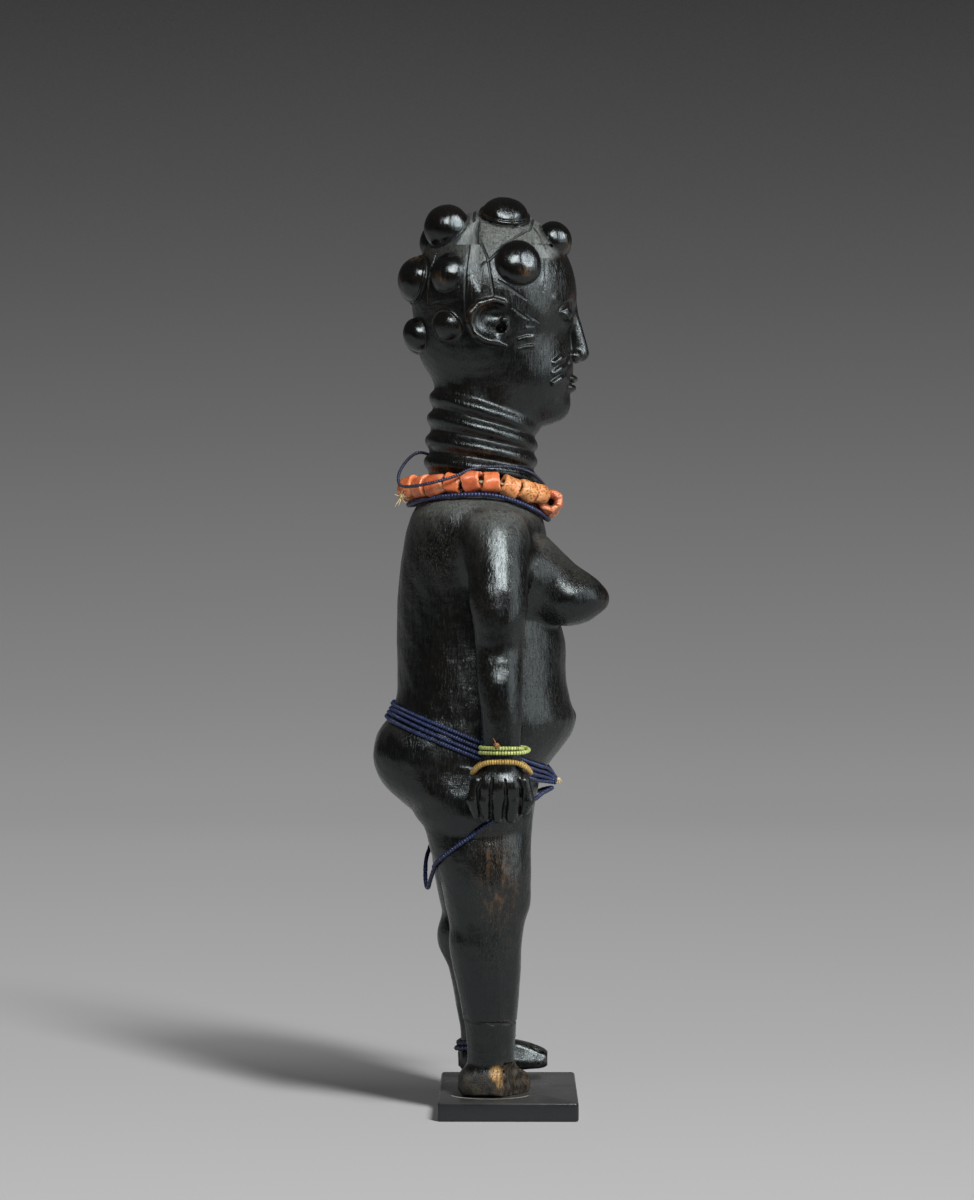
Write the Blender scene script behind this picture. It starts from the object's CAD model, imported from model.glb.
"""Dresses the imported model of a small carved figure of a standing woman, with her beads and her base.

The numbers are millimetres in the model's own frame: +X is the way she faces, +Y is her left and +Z is up.
"""

import math

import bmesh
import bpy
import numpy as np
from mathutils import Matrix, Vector


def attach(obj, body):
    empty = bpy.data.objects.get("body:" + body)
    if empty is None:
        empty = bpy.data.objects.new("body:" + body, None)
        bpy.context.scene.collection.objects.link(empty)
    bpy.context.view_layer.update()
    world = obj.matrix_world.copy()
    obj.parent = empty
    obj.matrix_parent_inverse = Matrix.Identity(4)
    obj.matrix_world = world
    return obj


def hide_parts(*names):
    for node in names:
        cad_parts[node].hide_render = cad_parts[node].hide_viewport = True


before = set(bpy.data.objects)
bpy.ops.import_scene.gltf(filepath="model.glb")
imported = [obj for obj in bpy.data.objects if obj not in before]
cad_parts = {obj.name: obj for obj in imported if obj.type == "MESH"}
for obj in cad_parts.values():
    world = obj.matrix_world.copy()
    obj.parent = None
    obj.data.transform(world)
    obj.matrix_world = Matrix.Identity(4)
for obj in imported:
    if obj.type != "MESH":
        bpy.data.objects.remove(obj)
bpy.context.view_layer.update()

# The block of wood
# The figure is cut from one block of dark, close-grained wood. It is described as one surface, made of
# rounded forms that are added to the block or cut from it and that melt into each other where they meet.
MM = 0.001
RIGHT = -1
LEFT = 1
FAR = 1000.0
BOX_MARGIN = 5
SHORT_STEP = 0.05
STEEPEST = 2


def blend(a, b, k):
    """The lesser of two distances, joined with a fillet of about radius k."""
    h = np.maximum(k - np.abs(a - b), 0) / k
    return np.minimum(a, b) - h * h * k * 0.25


def profile(rows):
    """A smooth curve through rows of numbers, read at a place on their first number."""
    table = np.array(rows, float)
    at = table[:, 0]
    values = table[:, 1:]
    before = np.maximum(np.arange(len(at)) - 1, 0)
    after = np.minimum(np.arange(len(at)) + 1, len(at) - 1)
    slopes = (values[after] - values[before]) / (at[after] - at[before])[:, None]

    def read(where):
        h = np.clip(where, at[0], at[-1])
        i = np.clip(np.searchsorted(at, h) - 1, 0, len(at) - 2)
        span = at[i + 1] - at[i]
        t = (h - at[i]) / span
        columns = []
        for c in range(values.shape[1]):
            p = values[i, c]
            q = values[i + 1, c]
            m = slopes[i, c] * span
            n = slopes[i + 1, c] * span
            columns.append(p + t * (m + t * (3 * (q - p) - 2 * m - n + t * (m + n - 2 * (q - p)))))
        return columns

    return read


def oval_distance(u, v, a, b, power):
    """Distance from a superellipse of half-axes a and b, negative inside."""
    pu = np.abs(u) / a
    pv = np.abs(v) / b
    g = (pu ** power + pv ** power) ** (1 / power)
    steep = np.hypot(pu ** (power - 1) / a, pv ** (power - 1) / b) * np.maximum(g, 0.3) ** (1 - power)
    return np.where(g < 0.3, (g - 1) * np.minimum(a, b), (g - 1) / np.maximum(steep, 1e-6))


def column(rows, power=2):
    """An upright form. Its rows are (height, x, y, half-depth, half-width)."""
    table = np.array(sorted(rows), float)
    at = profile(table)
    low = (min(table[:, 1] - table[:, 3]), min(table[:, 2] - table[:, 4]), table[0, 0])
    high = (max(table[:, 1] + table[:, 3]), max(table[:, 2] + table[:, 4]), table[-1, 0])

    def distance(x, y, z):
        cx, cy, a, b = at(z)
        oval = oval_distance(x - cx, y - cy, a, b, power)
        return np.maximum(oval, np.maximum(low[2] - z, z - high[2]))

    return low, high, distance


def beam(rows, power):
    """A form that lies along X. Its rows are (x, y, z, half-width, half-height)."""
    table = np.array(rows, float)
    at = profile(table)
    low = (table[0, 0], min(table[:, 1] - table[:, 3]), min(table[:, 2] - table[:, 4]))
    high = (table[-1, 0], max(table[:, 1] + table[:, 3]), max(table[:, 2] + table[:, 4]))

    def distance(x, y, z):
        cy, cz, a, b = at(x)
        oval = oval_distance(y - cy, z - cz, a, b, power)
        return np.maximum(oval, np.maximum(low[0] - x, x - high[0]))

    return low, high, distance


def egg(centre, radii):
    """An ellipsoid."""
    c = np.array(centre, float)
    r = np.array(radii, float)

    def distance(x, y, z):
        p = (x - c[0], y - c[1], z - c[2])
        near = np.sqrt((p[0] / r[0]) ** 2 + (p[1] / r[1]) ** 2 + (p[2] / r[2]) ** 2)
        steep = np.sqrt((p[0] / r[0] ** 2) ** 2 + (p[1] / r[1] ** 2) ** 2 + (p[2] / r[2] ** 2) ** 2)
        return near * (near - 1) / np.maximum(steep, 1e-6)

    return c - r, c + r, distance


def bar(start, end, start_radius, end_radius):
    """A rod that tapers between two round ends."""
    p = np.array(start, float)
    q = np.array(end, float)
    span = q - p
    length = max(span @ span, 1e-9)

    def distance(x, y, z):
        u = (x - p[0], y - p[1], z - p[2])
        t = np.clip((u[0] * span[0] + u[1] * span[1] + u[2] * span[2]) / length, 0, 1)
        off = np.sqrt((u[0] - t * span[0]) ** 2 + (u[1] - t * span[1]) ** 2 + (u[2] - t * span[2]) ** 2)
        return off - start_radius - t * (end_radius - start_radius)

    low = np.minimum(p - start_radius, q - end_radius)
    high = np.maximum(p + start_radius, q + end_radius)
    return low, high, distance


def trail(points, radii):
    """Rods end to end through a row of points, one radius for each point."""
    rods = [bar(points[i], points[i + 1], radii[i], radii[i + 1]) for i in range(len(points) - 1)]

    def distance(x, y, z):
        nearest = rods[0][2](x, y, z)
        for rod in rods[1:]:
            nearest = np.minimum(nearest, rod[2](x, y, z))
        return nearest

    return np.min([rod[0] for rod in rods], 0), np.max([rod[1] for rod in rods], 0), distance


def about_axis(centre, axis):
    """The centre, and a way to read how far out from the axis and how far up along it a place is."""
    c = np.array(centre, float)
    n = np.array(axis, float) / np.linalg.norm(axis)

    def read(x, y, z):
        p = (x - c[0], y - c[1], z - c[2])
        up = p[0] * n[0] + p[1] * n[1] + p[2] * n[2]
        out = np.sqrt(np.maximum(p[0] ** 2 + p[1] ** 2 + p[2] ** 2 - up ** 2, 0))
        return out, up

    return c, read


def button(centre, axis, radius, height):
    """A round button, as wide as radius and standing out by height along its axis."""
    c, read = about_axis(centre, axis)
    reach = max(radius, height)

    def distance(x, y, z):
        out, up = read(x, y, z)
        near = np.sqrt((out / radius) ** 2 + (up / height) ** 2)
        steep = np.sqrt((out / radius ** 2) ** 2 + (up / height ** 2) ** 2)
        return near * (near - 1) / np.maximum(steep, 1e-6)

    return c - reach, c + reach, distance


def hoop(centre, axis, radius, thickness):
    """A round ring about an axis."""
    c, read = about_axis(centre, axis)
    reach = radius + thickness

    def distance(x, y, z):
        out, up = read(x, y, z)
        return np.hypot(out - radius, up) - thickness

    return c - reach, c + reach, distance


def band(rows, height, fall, sunk, thickness, power=2):
    """A ring that follows a column's own outline, lower towards the front by fall for each millimetre."""
    at = profile(sorted(rows))
    table = np.array(rows, float)
    reach_x = max(table[:, 3]) + thickness
    reach_y = max(table[:, 4]) + thickness
    middle_x = table[:, 1].mean()
    middle_y = table[:, 2].mean()
    rise = abs(fall) * reach_x + thickness

    def distance(x, y, z):
        cx, cy, a, b = at(z)
        off = oval_distance(x - cx, y - cy, a, b, power) + sunk
        return np.hypot(off, z - height + fall * (x - cx)) - thickness

    return (
        (middle_x - reach_x, middle_y - reach_y, height - rise),
        (middle_x + reach_x, middle_y + reach_y, height + rise),
        distance,
    )


def planed(centre, normal, reach):
    """All that lies beyond a flat face. Cutting it away leaves a facet like that of a plane stroke."""
    c = np.array(centre, float)
    n = np.array(normal, float) / np.linalg.norm(normal)
    return c - reach, c + reach, lambda x, y, z: (c[0] - x) * n[0] + (c[1] - y) * n[1] + (c[2] - z) * n[2]


def add(form, k):
    return (*form, k, False)


def cut(form, k):
    return (*form, k, True)


def shaped(d, f, k, cutting):
    return -blend(-d, f, k) if cutting else blend(d, f, k)


def wood_at(points, steps):
    """Distance of each point from the wood, negative inside it."""
    x, y, z = points.T
    d = np.full(len(points), FAR)
    for low, high, distance, k, cutting in steps:
        near = (x > low[0] - BOX_MARGIN) & (x < high[0] + BOX_MARGIN)
        near &= (y > low[1] - BOX_MARGIN) & (y < high[1] + BOX_MARGIN)
        near &= (z > low[2] - BOX_MARGIN) & (z < high[2] + BOX_MARGIN)
        near = np.flatnonzero(near)
        if len(near):
            d[near] = shaped(d[near], distance(x[near], y[near], z[near]), k, cutting)
    return d


def slope_at(points, measure):
    """The value and the gradient of a measure at each point."""
    here = measure(points)
    gradient = np.stack([(measure(points + SHORT_STEP * axis) - here) / SHORT_STEP for axis in np.eye(3)], 1)
    return here, gradient


def away_from(points, steps):
    """How far each point is from the wood, and which way leads straight out."""
    here, gradient = slope_at(points, lambda p: wood_at(p, steps))
    size = np.maximum(np.linalg.norm(gradient, axis=1), 1e-9)
    return here / np.clip(size, 1, STEEPEST), gradient / size[:, None]


def reach_out(starts, directions, steps, clearance, most):
    """Where each ray from inside the wood first has the wanted clearance."""
    starts = np.atleast_2d(np.array(starts, float))
    directions = np.broadcast_to(np.array(directions, float), starts.shape)
    near = np.zeros(len(starts))
    far = np.full(len(starts), float(most))
    for _ in range(14):
        middle = (near + far) / 2
        inside = away_from(starts + middle[:, None] * directions, steps)[0] < clearance
        near = np.where(inside, middle, near)
        far = np.where(inside, far, middle)
    return starts + near[:, None] * directions


def pushed_out(points, steps, clearance):
    """Moves chosen points straight out of the wood until they have the wanted clearance."""
    p = np.atleast_2d(np.array(points, float))
    for _ in range(12):
        distance, direction = away_from(p, steps)
        short = np.maximum(clearance - distance, 0)
        if short.max() < 1e-3:
            break
        p = p + direction * (short + 0.01 * (short > 0))[:, None]
    return p


# Trunk
# The trunk runs from the crotch to the foot of the neck, with breasts and buttocks standing out of it.
# It is pared with a knife: a furrow down the spine, a cleft below it and a small raised navel.
TRUNK_OUTLINE = [
    (84.5, -23.6, 6.6, 24),
    (87.5, -25.4, 7.4, 26.2),
    (91.5, -29.4, 8, 27.4),
    (96.8, -35.6, 9, 27.4),
    (100, -38.6, 9.6, 26.8),
    (104, -40.6, 11.2, 26.1),
    (109, -41.6, 15, 25.8),
    (115, -40.6, 19.4, 25.4),
    (120, -37.4, 20.8, 25),
    (126, -35, 19.2, 24.5),
    (132, -34.4, 18, 23.8),
    (144, -34.6, 17.6, 22.6),
    (157, -34.3, 14, 23),
    (168, -33.2, 12.6, 25),
    (176, -31.8, 12, 25.8),
    (182, -30.2, 10.6, 25),
    (186, -28, 7.8, 22.6),
    (188.5, -26.2, 7.2, 19.2),
    (191, -25, 7, 16.2),
]
trunk_rows = [(z, (back + front) / 2, 0, (front - back) / 2, half) for z, back, front, half in TRUNK_OUTLINE]

trunk = [add(column(trunk_rows, 2.3), 1)]
for side in (LEFT, RIGHT):
    trunk += [
        add(egg((-22.4, side * 11.6, 109), (18.6, 13, 14.2)), 3),
        add(egg((17.5, side * 13, 157.3), (12.4, 9.6, 8.7)), 2),
        add(bar((8.5, side * 11.6, 162.6), (27.4, side * 13, 157), 13.6, 3.2), 2.5),
    ]
trunk += [
    cut(bar((-44, 0, 114), (-33, 0, 86), 1.4, 2.2), 2.5),
    cut(bar((-36.6, 0, 176), (-37.2, 0, 124), 1.6, 2.6), 4),
    add(egg((18.9, 0, 120.5), (1.8, 2, 2)), 1.6),
]

# Legs and feet
# The right shin was broken off and set back, so a seam runs round it and the stump below is a little thinner.
# The right foot has lost its outer toes on a ragged slant. The left foot is whole and hangs over the base.
BASE_HEIGHT = 5.7
RIGHT_SOLE = BASE_HEIGHT + 0.05
LEFT_SOLE = BASE_HEIGHT + 3
SEAM_HEIGHT = 28.6
LEG_ROWS = [
    (104, -9, 12.9, 13, 11.6),
    (92, -10.6, 13.8, 17.6, 13),
    (86.9, -9.2, 14, 16.3, 12.9),
    (80, -8.3, 14.1, 15.3, 12.3),
    (71, -6.8, 14.1, 13.8, 11.6),
    (64, -6.2, 14.1, 13, 10.7),
    (57.4, -6.4, 14.1, 11.4, 10),
    (51.3, -6.9, 14.2, 11.1, 9.6),
    (42, -6.2, 14.4, 10, 8.7),
    (34.5, -5.7, 14.6, 8.9, 7.9),
    (28.6, -5.4, 14.7, 8.1, 7.4),
]
RIGHT_SHIN_ROWS = [
    (28.6, -5.3, 14.7, 7.9, 7.2),
    (22, -5.2, 14.7, 7.3, 6.9),
    (16, -5.2, 14.7, 7.2, 6.8),
    (11, -5, 14.7, 8, 6.8),
    (7, -4.8, 14.7, 8.6, 6.8),
]
LEFT_SHIN_ROWS = [(22, -7.5, 14.9, 7.5, 6.7), (16, -7, 15, 7.8, 6.3), (11, -6.2, 15, 8.4, 6)]
RIGHT_FOOT_ROWS = [
    (-15.2, -14.7, 9.6, 3.2, 2.2),
    (-13.6, -14.7, 9.8, 5.8, 3.9),
    (-8, -14.7, 10.2, 6.8, 5),
    (0, -14.7, 10, 7, 5),
    (4.6, -14.2, 9, 6.6, 3.9),
    (6.8, -13.4, 8.6, 5.2, 2.8),
]
LEFT_FOOT_ROWS = [
    (-15.4, 15, 12.2, 2.6, 2),
    (-14, 15, 12.4, 4.9, 3.8),
    (-9, 15, 13.2, 6, 5),
    (-1, 15.4, 13.6, 6.1, 5),
    (4, 15.8, 13.2, 6.3, 4.5),
    (9, 16.1, 12.6, 6.3, 3.5),
    (11.4, 16.1, 12.3, 5.7, 2.8),
    (12.4, 16.1, 12.2, 4.6, 2.1),
]
BREAK_CORNER = (-2.2, -21.2)
BREAK_NORMAL = (0.8, -0.6)


def right_leg(rows):
    """The right thigh is a little slimmer at the hand and fuller below it."""
    shaped_rows = []
    for z, x, y, a, b in rows:
        fuller = 0.9 * math.exp(-((z - 73) / 7) ** 2) - 1.1 * math.exp(-((z - 88) / 5) ** 2)
        shaped_rows.append((z, x, RIGHT * (y + fuller / 2), a, b + fuller / 2))
    return shaped_rows


def left_leg(rows):
    """The left leg stands a little behind the right one, below the hip."""
    return [(z, x - 2.7 * min(max((83.5 - z) / 12.5, 0), 1), y, a, b) for z, x, y, a, b in rows]


def lost_toes(x, y, z):
    """The side of the break where the wood is gone, torn along the grain."""
    out = (x - BREAK_CORNER[0]) * BREAK_NORMAL[0] + (y - BREAK_CORNER[1]) * BREAK_NORMAL[1]
    along = (x - BREAK_CORNER[0]) * BREAK_NORMAL[1] - (y - BREAK_CORNER[1]) * BREAK_NORMAL[0]
    torn = 0.35 * np.sin(2.3 * along + 0.5 * z)
    torn = torn + 0.25 * np.sin(4.1 * along - 0.9 * z + 1) + 0.2 * np.sin(1.7 * z)
    return np.maximum(np.maximum(-out + torn, y), z - 16)


def under(sole, side):
    """All that is below one foot."""
    low = (-60, -60 if side == RIGHT else 0, 0)
    high = (60, 0 if side == RIGHT else 60, sole)
    return low, high, lambda x, y, z: np.maximum(z - sole, -side * y) + 0 * x


legs = [
    add(column(right_leg(LEG_ROWS), 2.2), 3),
    add(column(right_leg(RIGHT_SHIN_ROWS), 2.2), 0.6),
    cut(band(right_leg(LEG_ROWS), SEAM_HEIGHT - 0.2, 0.02, -0.1, 0.42, 2.2), 0.3),
    add(column(left_leg(LEG_ROWS) + LEFT_SHIN_ROWS, 2.2), 3),
    add(egg((-13.2, 14.2, 51), (8.9, 8, 9.5)), 2.5),
    add(beam(RIGHT_FOOT_ROWS, 2.6), 2),
    add(beam(LEFT_FOOT_ROWS, 2.6), 2.5),
    cut(((-20, -40, 0), (30, 0, 16), lost_toes), 0.4),
]
for side in (LEFT, RIGHT):
    legs.append(cut(planed((3, 15.6 + side * 4.9, 13.4), (0.08, side * 0.95, 0.3), 9), 1))
for gap in (12.7, 15, 17.3, 19.6):
    legs.append(cut(bar((7.6, gap, 16.4), (14.6, gap, 11.4), 0.5, 0.5), 0.5))
legs += [
    cut(bar((0.4, -18, 15), (1.8, -15.6, 5), 0.6, 0.6), 0.5),
    cut(bar((3.4, -14, 14), (5.4, -11.6, 5), 0.5, 0.5), 0.5),
    cut(bar((-1.4, -19.6, 13.5), (-0.2, -18.6, 5), 0.35, 0.5), 0.4),
    cut(under(RIGHT_SOLE, RIGHT), 0.3),
    cut(under(LEFT_SOLE, LEFT), 0.3),
]

# Arms and hands
# The arms hang clear of the sides from rounded shoulders. The hands lie flat against the thighs, with the
# fingers laid side by side and parted by deep knife cuts.
ARM_ROWS = [
    (183, -3.4, 22.6, 6.2, 6.4),
    (180, -3.3, 25, 8, 7.4),
    (176, -3.2, 26.6, 8.8, 7.8),
    (168, -3.1, 29.6, 8.9, 7.8),
    (160, -2.9, 32, 8.9, 7.6),
    (156, -2.8, 32.7, 8.8, 7.5),
    (151, -2.7, 33.2, 8.1, 7.3),
    (146, -2.7, 33, 7.5, 6.6),
    (141.5, -2.6, 33, 7.2, 6),
    (137, -2.6, 33.6, 7.1, 6.2),
    (131, -2.5, 34.7, 6.8, 6.3),
    (121, -2.1, 35, 6.2, 5.6),
    (112, -1.9, 34.6, 5.7, 4.9),
    (107.5, -2, 34.4, 6.1, 4.7),
    (104, -2.2, 34.1, 7.4, 4.5),
    (100, -2.3, 33.6, 8.8, 4.2),
    (96, -2.4, 33.2, 8.8, 3.6),
    (93, -2.3, 32.8, 7.4, 2.6),
    (91.5, -2.2, 32.6, 5.8, 1.8),
]
FINGERS = [
    (-9, -10.6, -9.2, 92.4, 1.8),
    (-6.4, -7.1, -6.8, 91.9, 2),
    (-2.9, -3, -3.2, 91.7, 2.1),
    (1.2, 1.7, 1, 91.9, 2.2),
    (4.8, 5.9, 4.9, 94.2, 2),
]
KNUCKLE = {"height": 102.6, "side": 36.8}
FINGER_MIDDLE = {"height": 97, "side": 36.4}
FINGER_TIP_SIDE = 34.2
FINGER_CUT = {
    "side": 34,
    "heights": (103.2, 100.4, 96.6, 93),
    "depth": 0.4,
    "radii": (0.3, 0.6, 0.7, 0.75, 0.9),
}
FINGER_CUT_END = {"side": 35.2, "height": 90.6}

arms = []
for side in (LEFT, RIGHT):
    arms += [
        add(egg((-3.6, side * 24.4, 172.4), (10.4, 10, 12.6)), 4),
        add(column([(z, x, side * y, a, b) for z, x, y, a, b in ARM_ROWS], 2.04), 2),
        add(egg((-2.2, side * 35, 101.2), (9.1, 5, 5.8)), 1.5),
        add(egg((-3.5, side * 30, 100.8), (4, 4, 2.6)), 1),
    ]
    for knuckle, middle, tip, tip_height, radius in FINGERS:
        bend = (middle, side * FINGER_MIDDLE["side"], FINGER_MIDDLE["height"])
        arms += [
            add(bar((knuckle, side * KNUCKLE["side"], KNUCKLE["height"]), bend, radius, radius), 0.5),
            add(bar(bend, (tip, side * FINGER_TIP_SIDE, tip_height), radius, radius * 0.85), 0.5),
        ]
    whole_hand = list(arms)
    for finger, next_finger in zip(FINGERS, FINGERS[1:]):
        top, middle, tip = [(finger[n] + next_finger[n]) / 2 for n in range(3)]
        places = zip((top, middle, middle, tip), FINGER_CUT["heights"])
        starts = [(x, side * FINGER_CUT["side"], z) for x, z in places]
        groove = reach_out(starts, (0, side, 0), whole_hand, -FINGER_CUT["depth"], 9).tolist()
        groove.append((tip, side * FINGER_CUT_END["side"], FINGER_CUT_END["height"]))
        arms.append(cut(trail(groove, FINGER_CUT["radii"]), 0.5))

# Neck
# A tall neck with four raised rings round it, close together, that dip towards the front.
NECK_ROWS = [
    (188, -8.8, 0, 16, 15.8),
    (199, -8.5, 0, 16, 15.2),
    (209, -8.1, 0, 15.8, 14.9),
    (222, -7, 0, 15.6, 15),
    (228, -6.4, 0, 15.6, 15),
]
NECK_RINGS = [(214.4, 0.296), (208.8, 0.252), (202.8, 0.195), (196.8, 0.15)]

neck = [add(column(NECK_ROWS), 3)]
for height, fall in NECK_RINGS:
    neck.append(add(band(NECK_ROWS, height, fall, 0.8, 2.4), 1.3))

# Head
# A tall skull over a rounded lower head, with cupped ears. The face is a plain and calm one on even
# proportions. Three short raised bars stand at each corner of the mouth and three at each temple.
SKULL_CENTRE = np.array((-4.3, 0, 250.5))
SKULL_RADII = np.array((25.6, 22.3, 27.2))
EYE_HEIGHT = 244.5
EYE_SIDE = 8.6
MOUTH_HEIGHT = 223.6
EAR = (-6.2, 21.3, 240.8)
CHEEK_BAR = {
    "start": (17.2, 8.6, 1.2),
    "end": (13.8, 12.2, -1.2),
    "height": 227.2,
    "rise": 3.1,
    "radius": 1.15,
    "sunk": 0.1,
}
TEMPLE_BAR = {
    "start": (7.4, 16.8, 0.5),
    "end": (3.2, 18.8, -0.4),
    "height": 236.2,
    "rise": 2.8,
    "radius": 0.55,
    "sunk": 0.42,
}

skull = [
    add(egg(SKULL_CENTRE, SKULL_RADII), 2),
    add(egg((-6, 0, 238), (22.4, 19.4, 20)), 3),
    add(egg((2.6, 0, 228.4), (17.6, 16.6, 17.6)), 4),
    add(egg((12.6, 0, 216.8), (6.6, 7.4, 5.5)), 4),
]
face = []
for side in (LEFT, RIGHT):
    face += [
        cut(egg((21.8, side * (EYE_SIDE - 0.4), EYE_HEIGHT), (3.4, 5.2, 3.4)), 2.5),
        add(egg((16.2, side * EYE_SIDE, EYE_HEIGHT), (3.7, 4.4, 2.7)), 0.5),
        add(bar((19.2, side * 3.4, EYE_HEIGHT + 4.6), (13.6, side * 14.6, EYE_HEIGHT + 4), 1.3, 0.9), 1.4),
        add(egg((20.8, side * 2.7, 231.9), (2, 1.9, 1.8)), 0.8),
    ]
face += [
    add(bar((19.6, 0, EYE_HEIGHT + 3), (22.6, 0, 233), 1.5, 2.5), 1.4),
    add(egg((19.6, 0, MOUTH_HEIGHT + 1.4), (2, 4.8, 1.3)), 0.7),
    add(egg((19.1, 0, MOUTH_HEIGHT - 1.4), (2, 4.2, 1.4)), 0.7),
]


def drawn_on(steps, ys, zs):
    """Points on the front of the head at the given sides and heights."""
    starts = np.stack([np.full(len(ys), 8.0), ys, zs], 1)
    return reach_out(starts, (1, 0, 0), steps, 0, 20)


arch = np.linspace(-1, 1, 9)
bare_face = skull + face
details = []
for side in (LEFT, RIGHT):
    upper = drawn_on(bare_face, side * (EYE_SIDE + 4.5 * arch), EYE_HEIGHT + 0.1 + 2.2 * (1 - arch ** 2))
    lower = drawn_on(bare_face, side * (EYE_SIDE + 4.3 * arch), EYE_HEIGHT - 0.2 - 1.8 * (1 - arch ** 2))
    fold = drawn_on(bare_face, side * (EYE_SIDE + 4.7 * arch), EYE_HEIGHT + 1.2 + 2.5 * (1 - arch ** 2))
    details += [
        add(trail(upper, 0.25 + 0.35 * (1 - arch ** 2)), 0.35),
        add(trail(lower, 0.2 + 0.22 * (1 - arch ** 2)), 0.35),
        cut(trail(fold, 0.15 + 0.2 * (1 - arch ** 2)), 0.4),
        cut(egg((21.7, side * 1.9, 230), (1.1, 0.75, 0.7)), 0.4),
        cut(bar((19.6, side * 5, 231), (17.6, side * 6.4, 228.2), 0.4, 0.3), 1.2),
    ]
lips = drawn_on(bare_face, 4.7 * arch, MOUTH_HEIGHT + 0.5 * np.abs(arch) - 0.15)
details += [
    cut(trail(lips, 0.2 + 0.22 * (1 - arch ** 2)), 0.4),
    cut(bar((20.4, 0, 229.3), (20.6, 0, 226.4), 0.35, 0.5), 0.6),
]
for side in (LEFT, RIGHT):
    ear_rim = [
        (EAR[0] + 4.6, side * 22.2, EAR[2] + 5.6),
        (EAR[0] + 1.6, side * 23.6, EAR[2] + 6.3),
        (EAR[0] - 2.4, side * 24.3, EAR[2] + 5.2),
        (EAR[0] - 4.9, side * 24.5, EAR[2] + 2.4),
        (EAR[0] - 5.2, side * 24.3, EAR[2] - 0.8),
        (EAR[0] - 3.4, side * 23.8, EAR[2] - 3.8),
    ]
    lobe = [
        (EAR[0] - 3.4, side * 23.6, EAR[2] - 3.8),
        (EAR[0] + 1.2, side * 22.8, EAR[2] - 5.7),
        (EAR[0] + 5.6, side * 22, EAR[2] - 7.2),
    ]
    front = (EAR[0] + 6.6, side * 24.6)
    ear_front = bar((*front, EAR[2] + 3), (*front, EAR[2] - 6), 1.2, 1.2)
    details += [
        add(egg((EAR[0], side * EAR[1], EAR[2]), (6.2, 3.9, 6.9)), 1),
        add(trail(ear_rim, (0.8, 1.3, 1.5, 1.5, 1.3, 1)), 1.2),
        add(trail(lobe, (1.2, 1.5, 0.7)), 1.6),
        cut(egg((EAR[0] + 2.2, side * (EAR[1] + 4.4), EAR[2] - 0.4), (6, 3.4, 5.4)), 1.2),
        cut(egg((EAR[0] + 2.6, side * (EAR[1] + 2.4), EAR[2] + 1.8), (4.2, 3.6, 3.2)), 2),
        cut(egg((EAR[0] + 4.2, side * (EAR[1] + 0.4), EAR[2] - 1.9), (1.6, 3.2, 1.5)), 0.6),
        add(egg((EAR[0] + 5, side * (EAR[1] + 1.2), EAR[2] + 0.6), (1.5, 1.4, 1)), 0.5),
        cut(ear_front, 0.4),
    ]
    for mark in (CHEEK_BAR, TEMPLE_BAR):
        for shift in (-mark["rise"], 0, mark["rise"]):
            ends = [(x, side * y, mark["height"] + z + shift) for x, y, z in (mark["start"], mark["end"])]
            p, q = pushed_out(ends, skull, -mark["sunk"])
            middle = (p + q) / 2 + (p + q - 2 * np.array(SKULL_CENTRE)) * (0.004, 0.008, 0) + (0, 0, 0.25)
            rod = trail([p, middle, q], (mark["radius"] * 0.75, mark["radius"], mark["radius"] * 0.75))
            details.append(add(rod, 0.6))

# Hair
# Round knobs of hair stand in two rows over the crown and in groups at the sides, some above a thin lip and
# some with a flat left by the knife. Fine straight lines are cut into the scalp between them.
HAIR_KNOBS = [
    (14.3, 6.2, 267.7, 5.7, 5.1, 0),
    (-1, 8.6, 274.8, 7.2, 5.2, 0.3),
    (-18.8, 8.6, 271, 7.1, 7, 0),
    (-28, 6.4, 255.4, 6.9, 5.9, 0.2),
    (-27.6, 6, 238.2, 5.4, 4.6, 0),
    (3.1, 19.4, 258.9, 7.2, 5, 0),
    (-18.2, 17, 256, 5.9, 4.6, 0),
    (-18.2, 16.2, 240.2, 4.8, 3.8, 0.3),
]
KNIFE_FLATS = {0: (20, 12, 0.2), 1: (6, 18, 0.35), 2: (26, 12, 0.35), 5: (28, 15, 0.35), 6: (14, 16, 0.15)}
SHIFTED_KNOB = 2
KNOB_SHIFT = (-1.8, 0.4, -2.6)
SIDE_PARTINGS = [
    [(-10.8, 270.8), (-12, 262), (-12.8, 241.5)],
    [(-10.6, 270.8), (-6.1, 260.1), (-4.3, 248.4)],
    [(-12.3, 254.7), (-5.2, 260.1), (6.4, 269.8)],
    [(6.4, 272.4), (11.8, 262.9)],
    [(7.3, 265.3), (15.8, 264.4)],
    [(10.9, 263.8), (10.9, 250.5)],
    [(-3.3, 253.6), (5.5, 247.7)],
    [(-21.5, 263), (-24.5, 247)],
    [(-23, 247), (-15, 247.6)],
    [(1.4, 245), (6.4, 241.8)],
    [(5.6, 243.4), (9.8, 241)],
]
TOP_PARTINGS = [
    ((14, 0), (-24, 0)),
    ((7.4, 0), (6.6, 13)),
    ((-9.6, 0), (-10.4, 13)),
    ((6.4, 13), (-9.4, 13)),
]



def knife_flat(side, centre, axis, radius, height, forward, up, depth):
    """A flat cut into a knob on the side that faces outward, turned forward and up by some degrees."""
    turn = math.radians(forward)
    n = np.array((math.sin(turn), side * math.cos(turn), math.tan(math.radians(up))))
    n /= np.linalg.norm(n)
    along = (n @ axis) * axis
    reach = radius ** 2 * (n - along) + height ** 2 * along
    touching = centre + reach / math.sqrt(reach @ n)
    return cut(planed(touching - depth * n, n, 2.5), 0.5)


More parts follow.
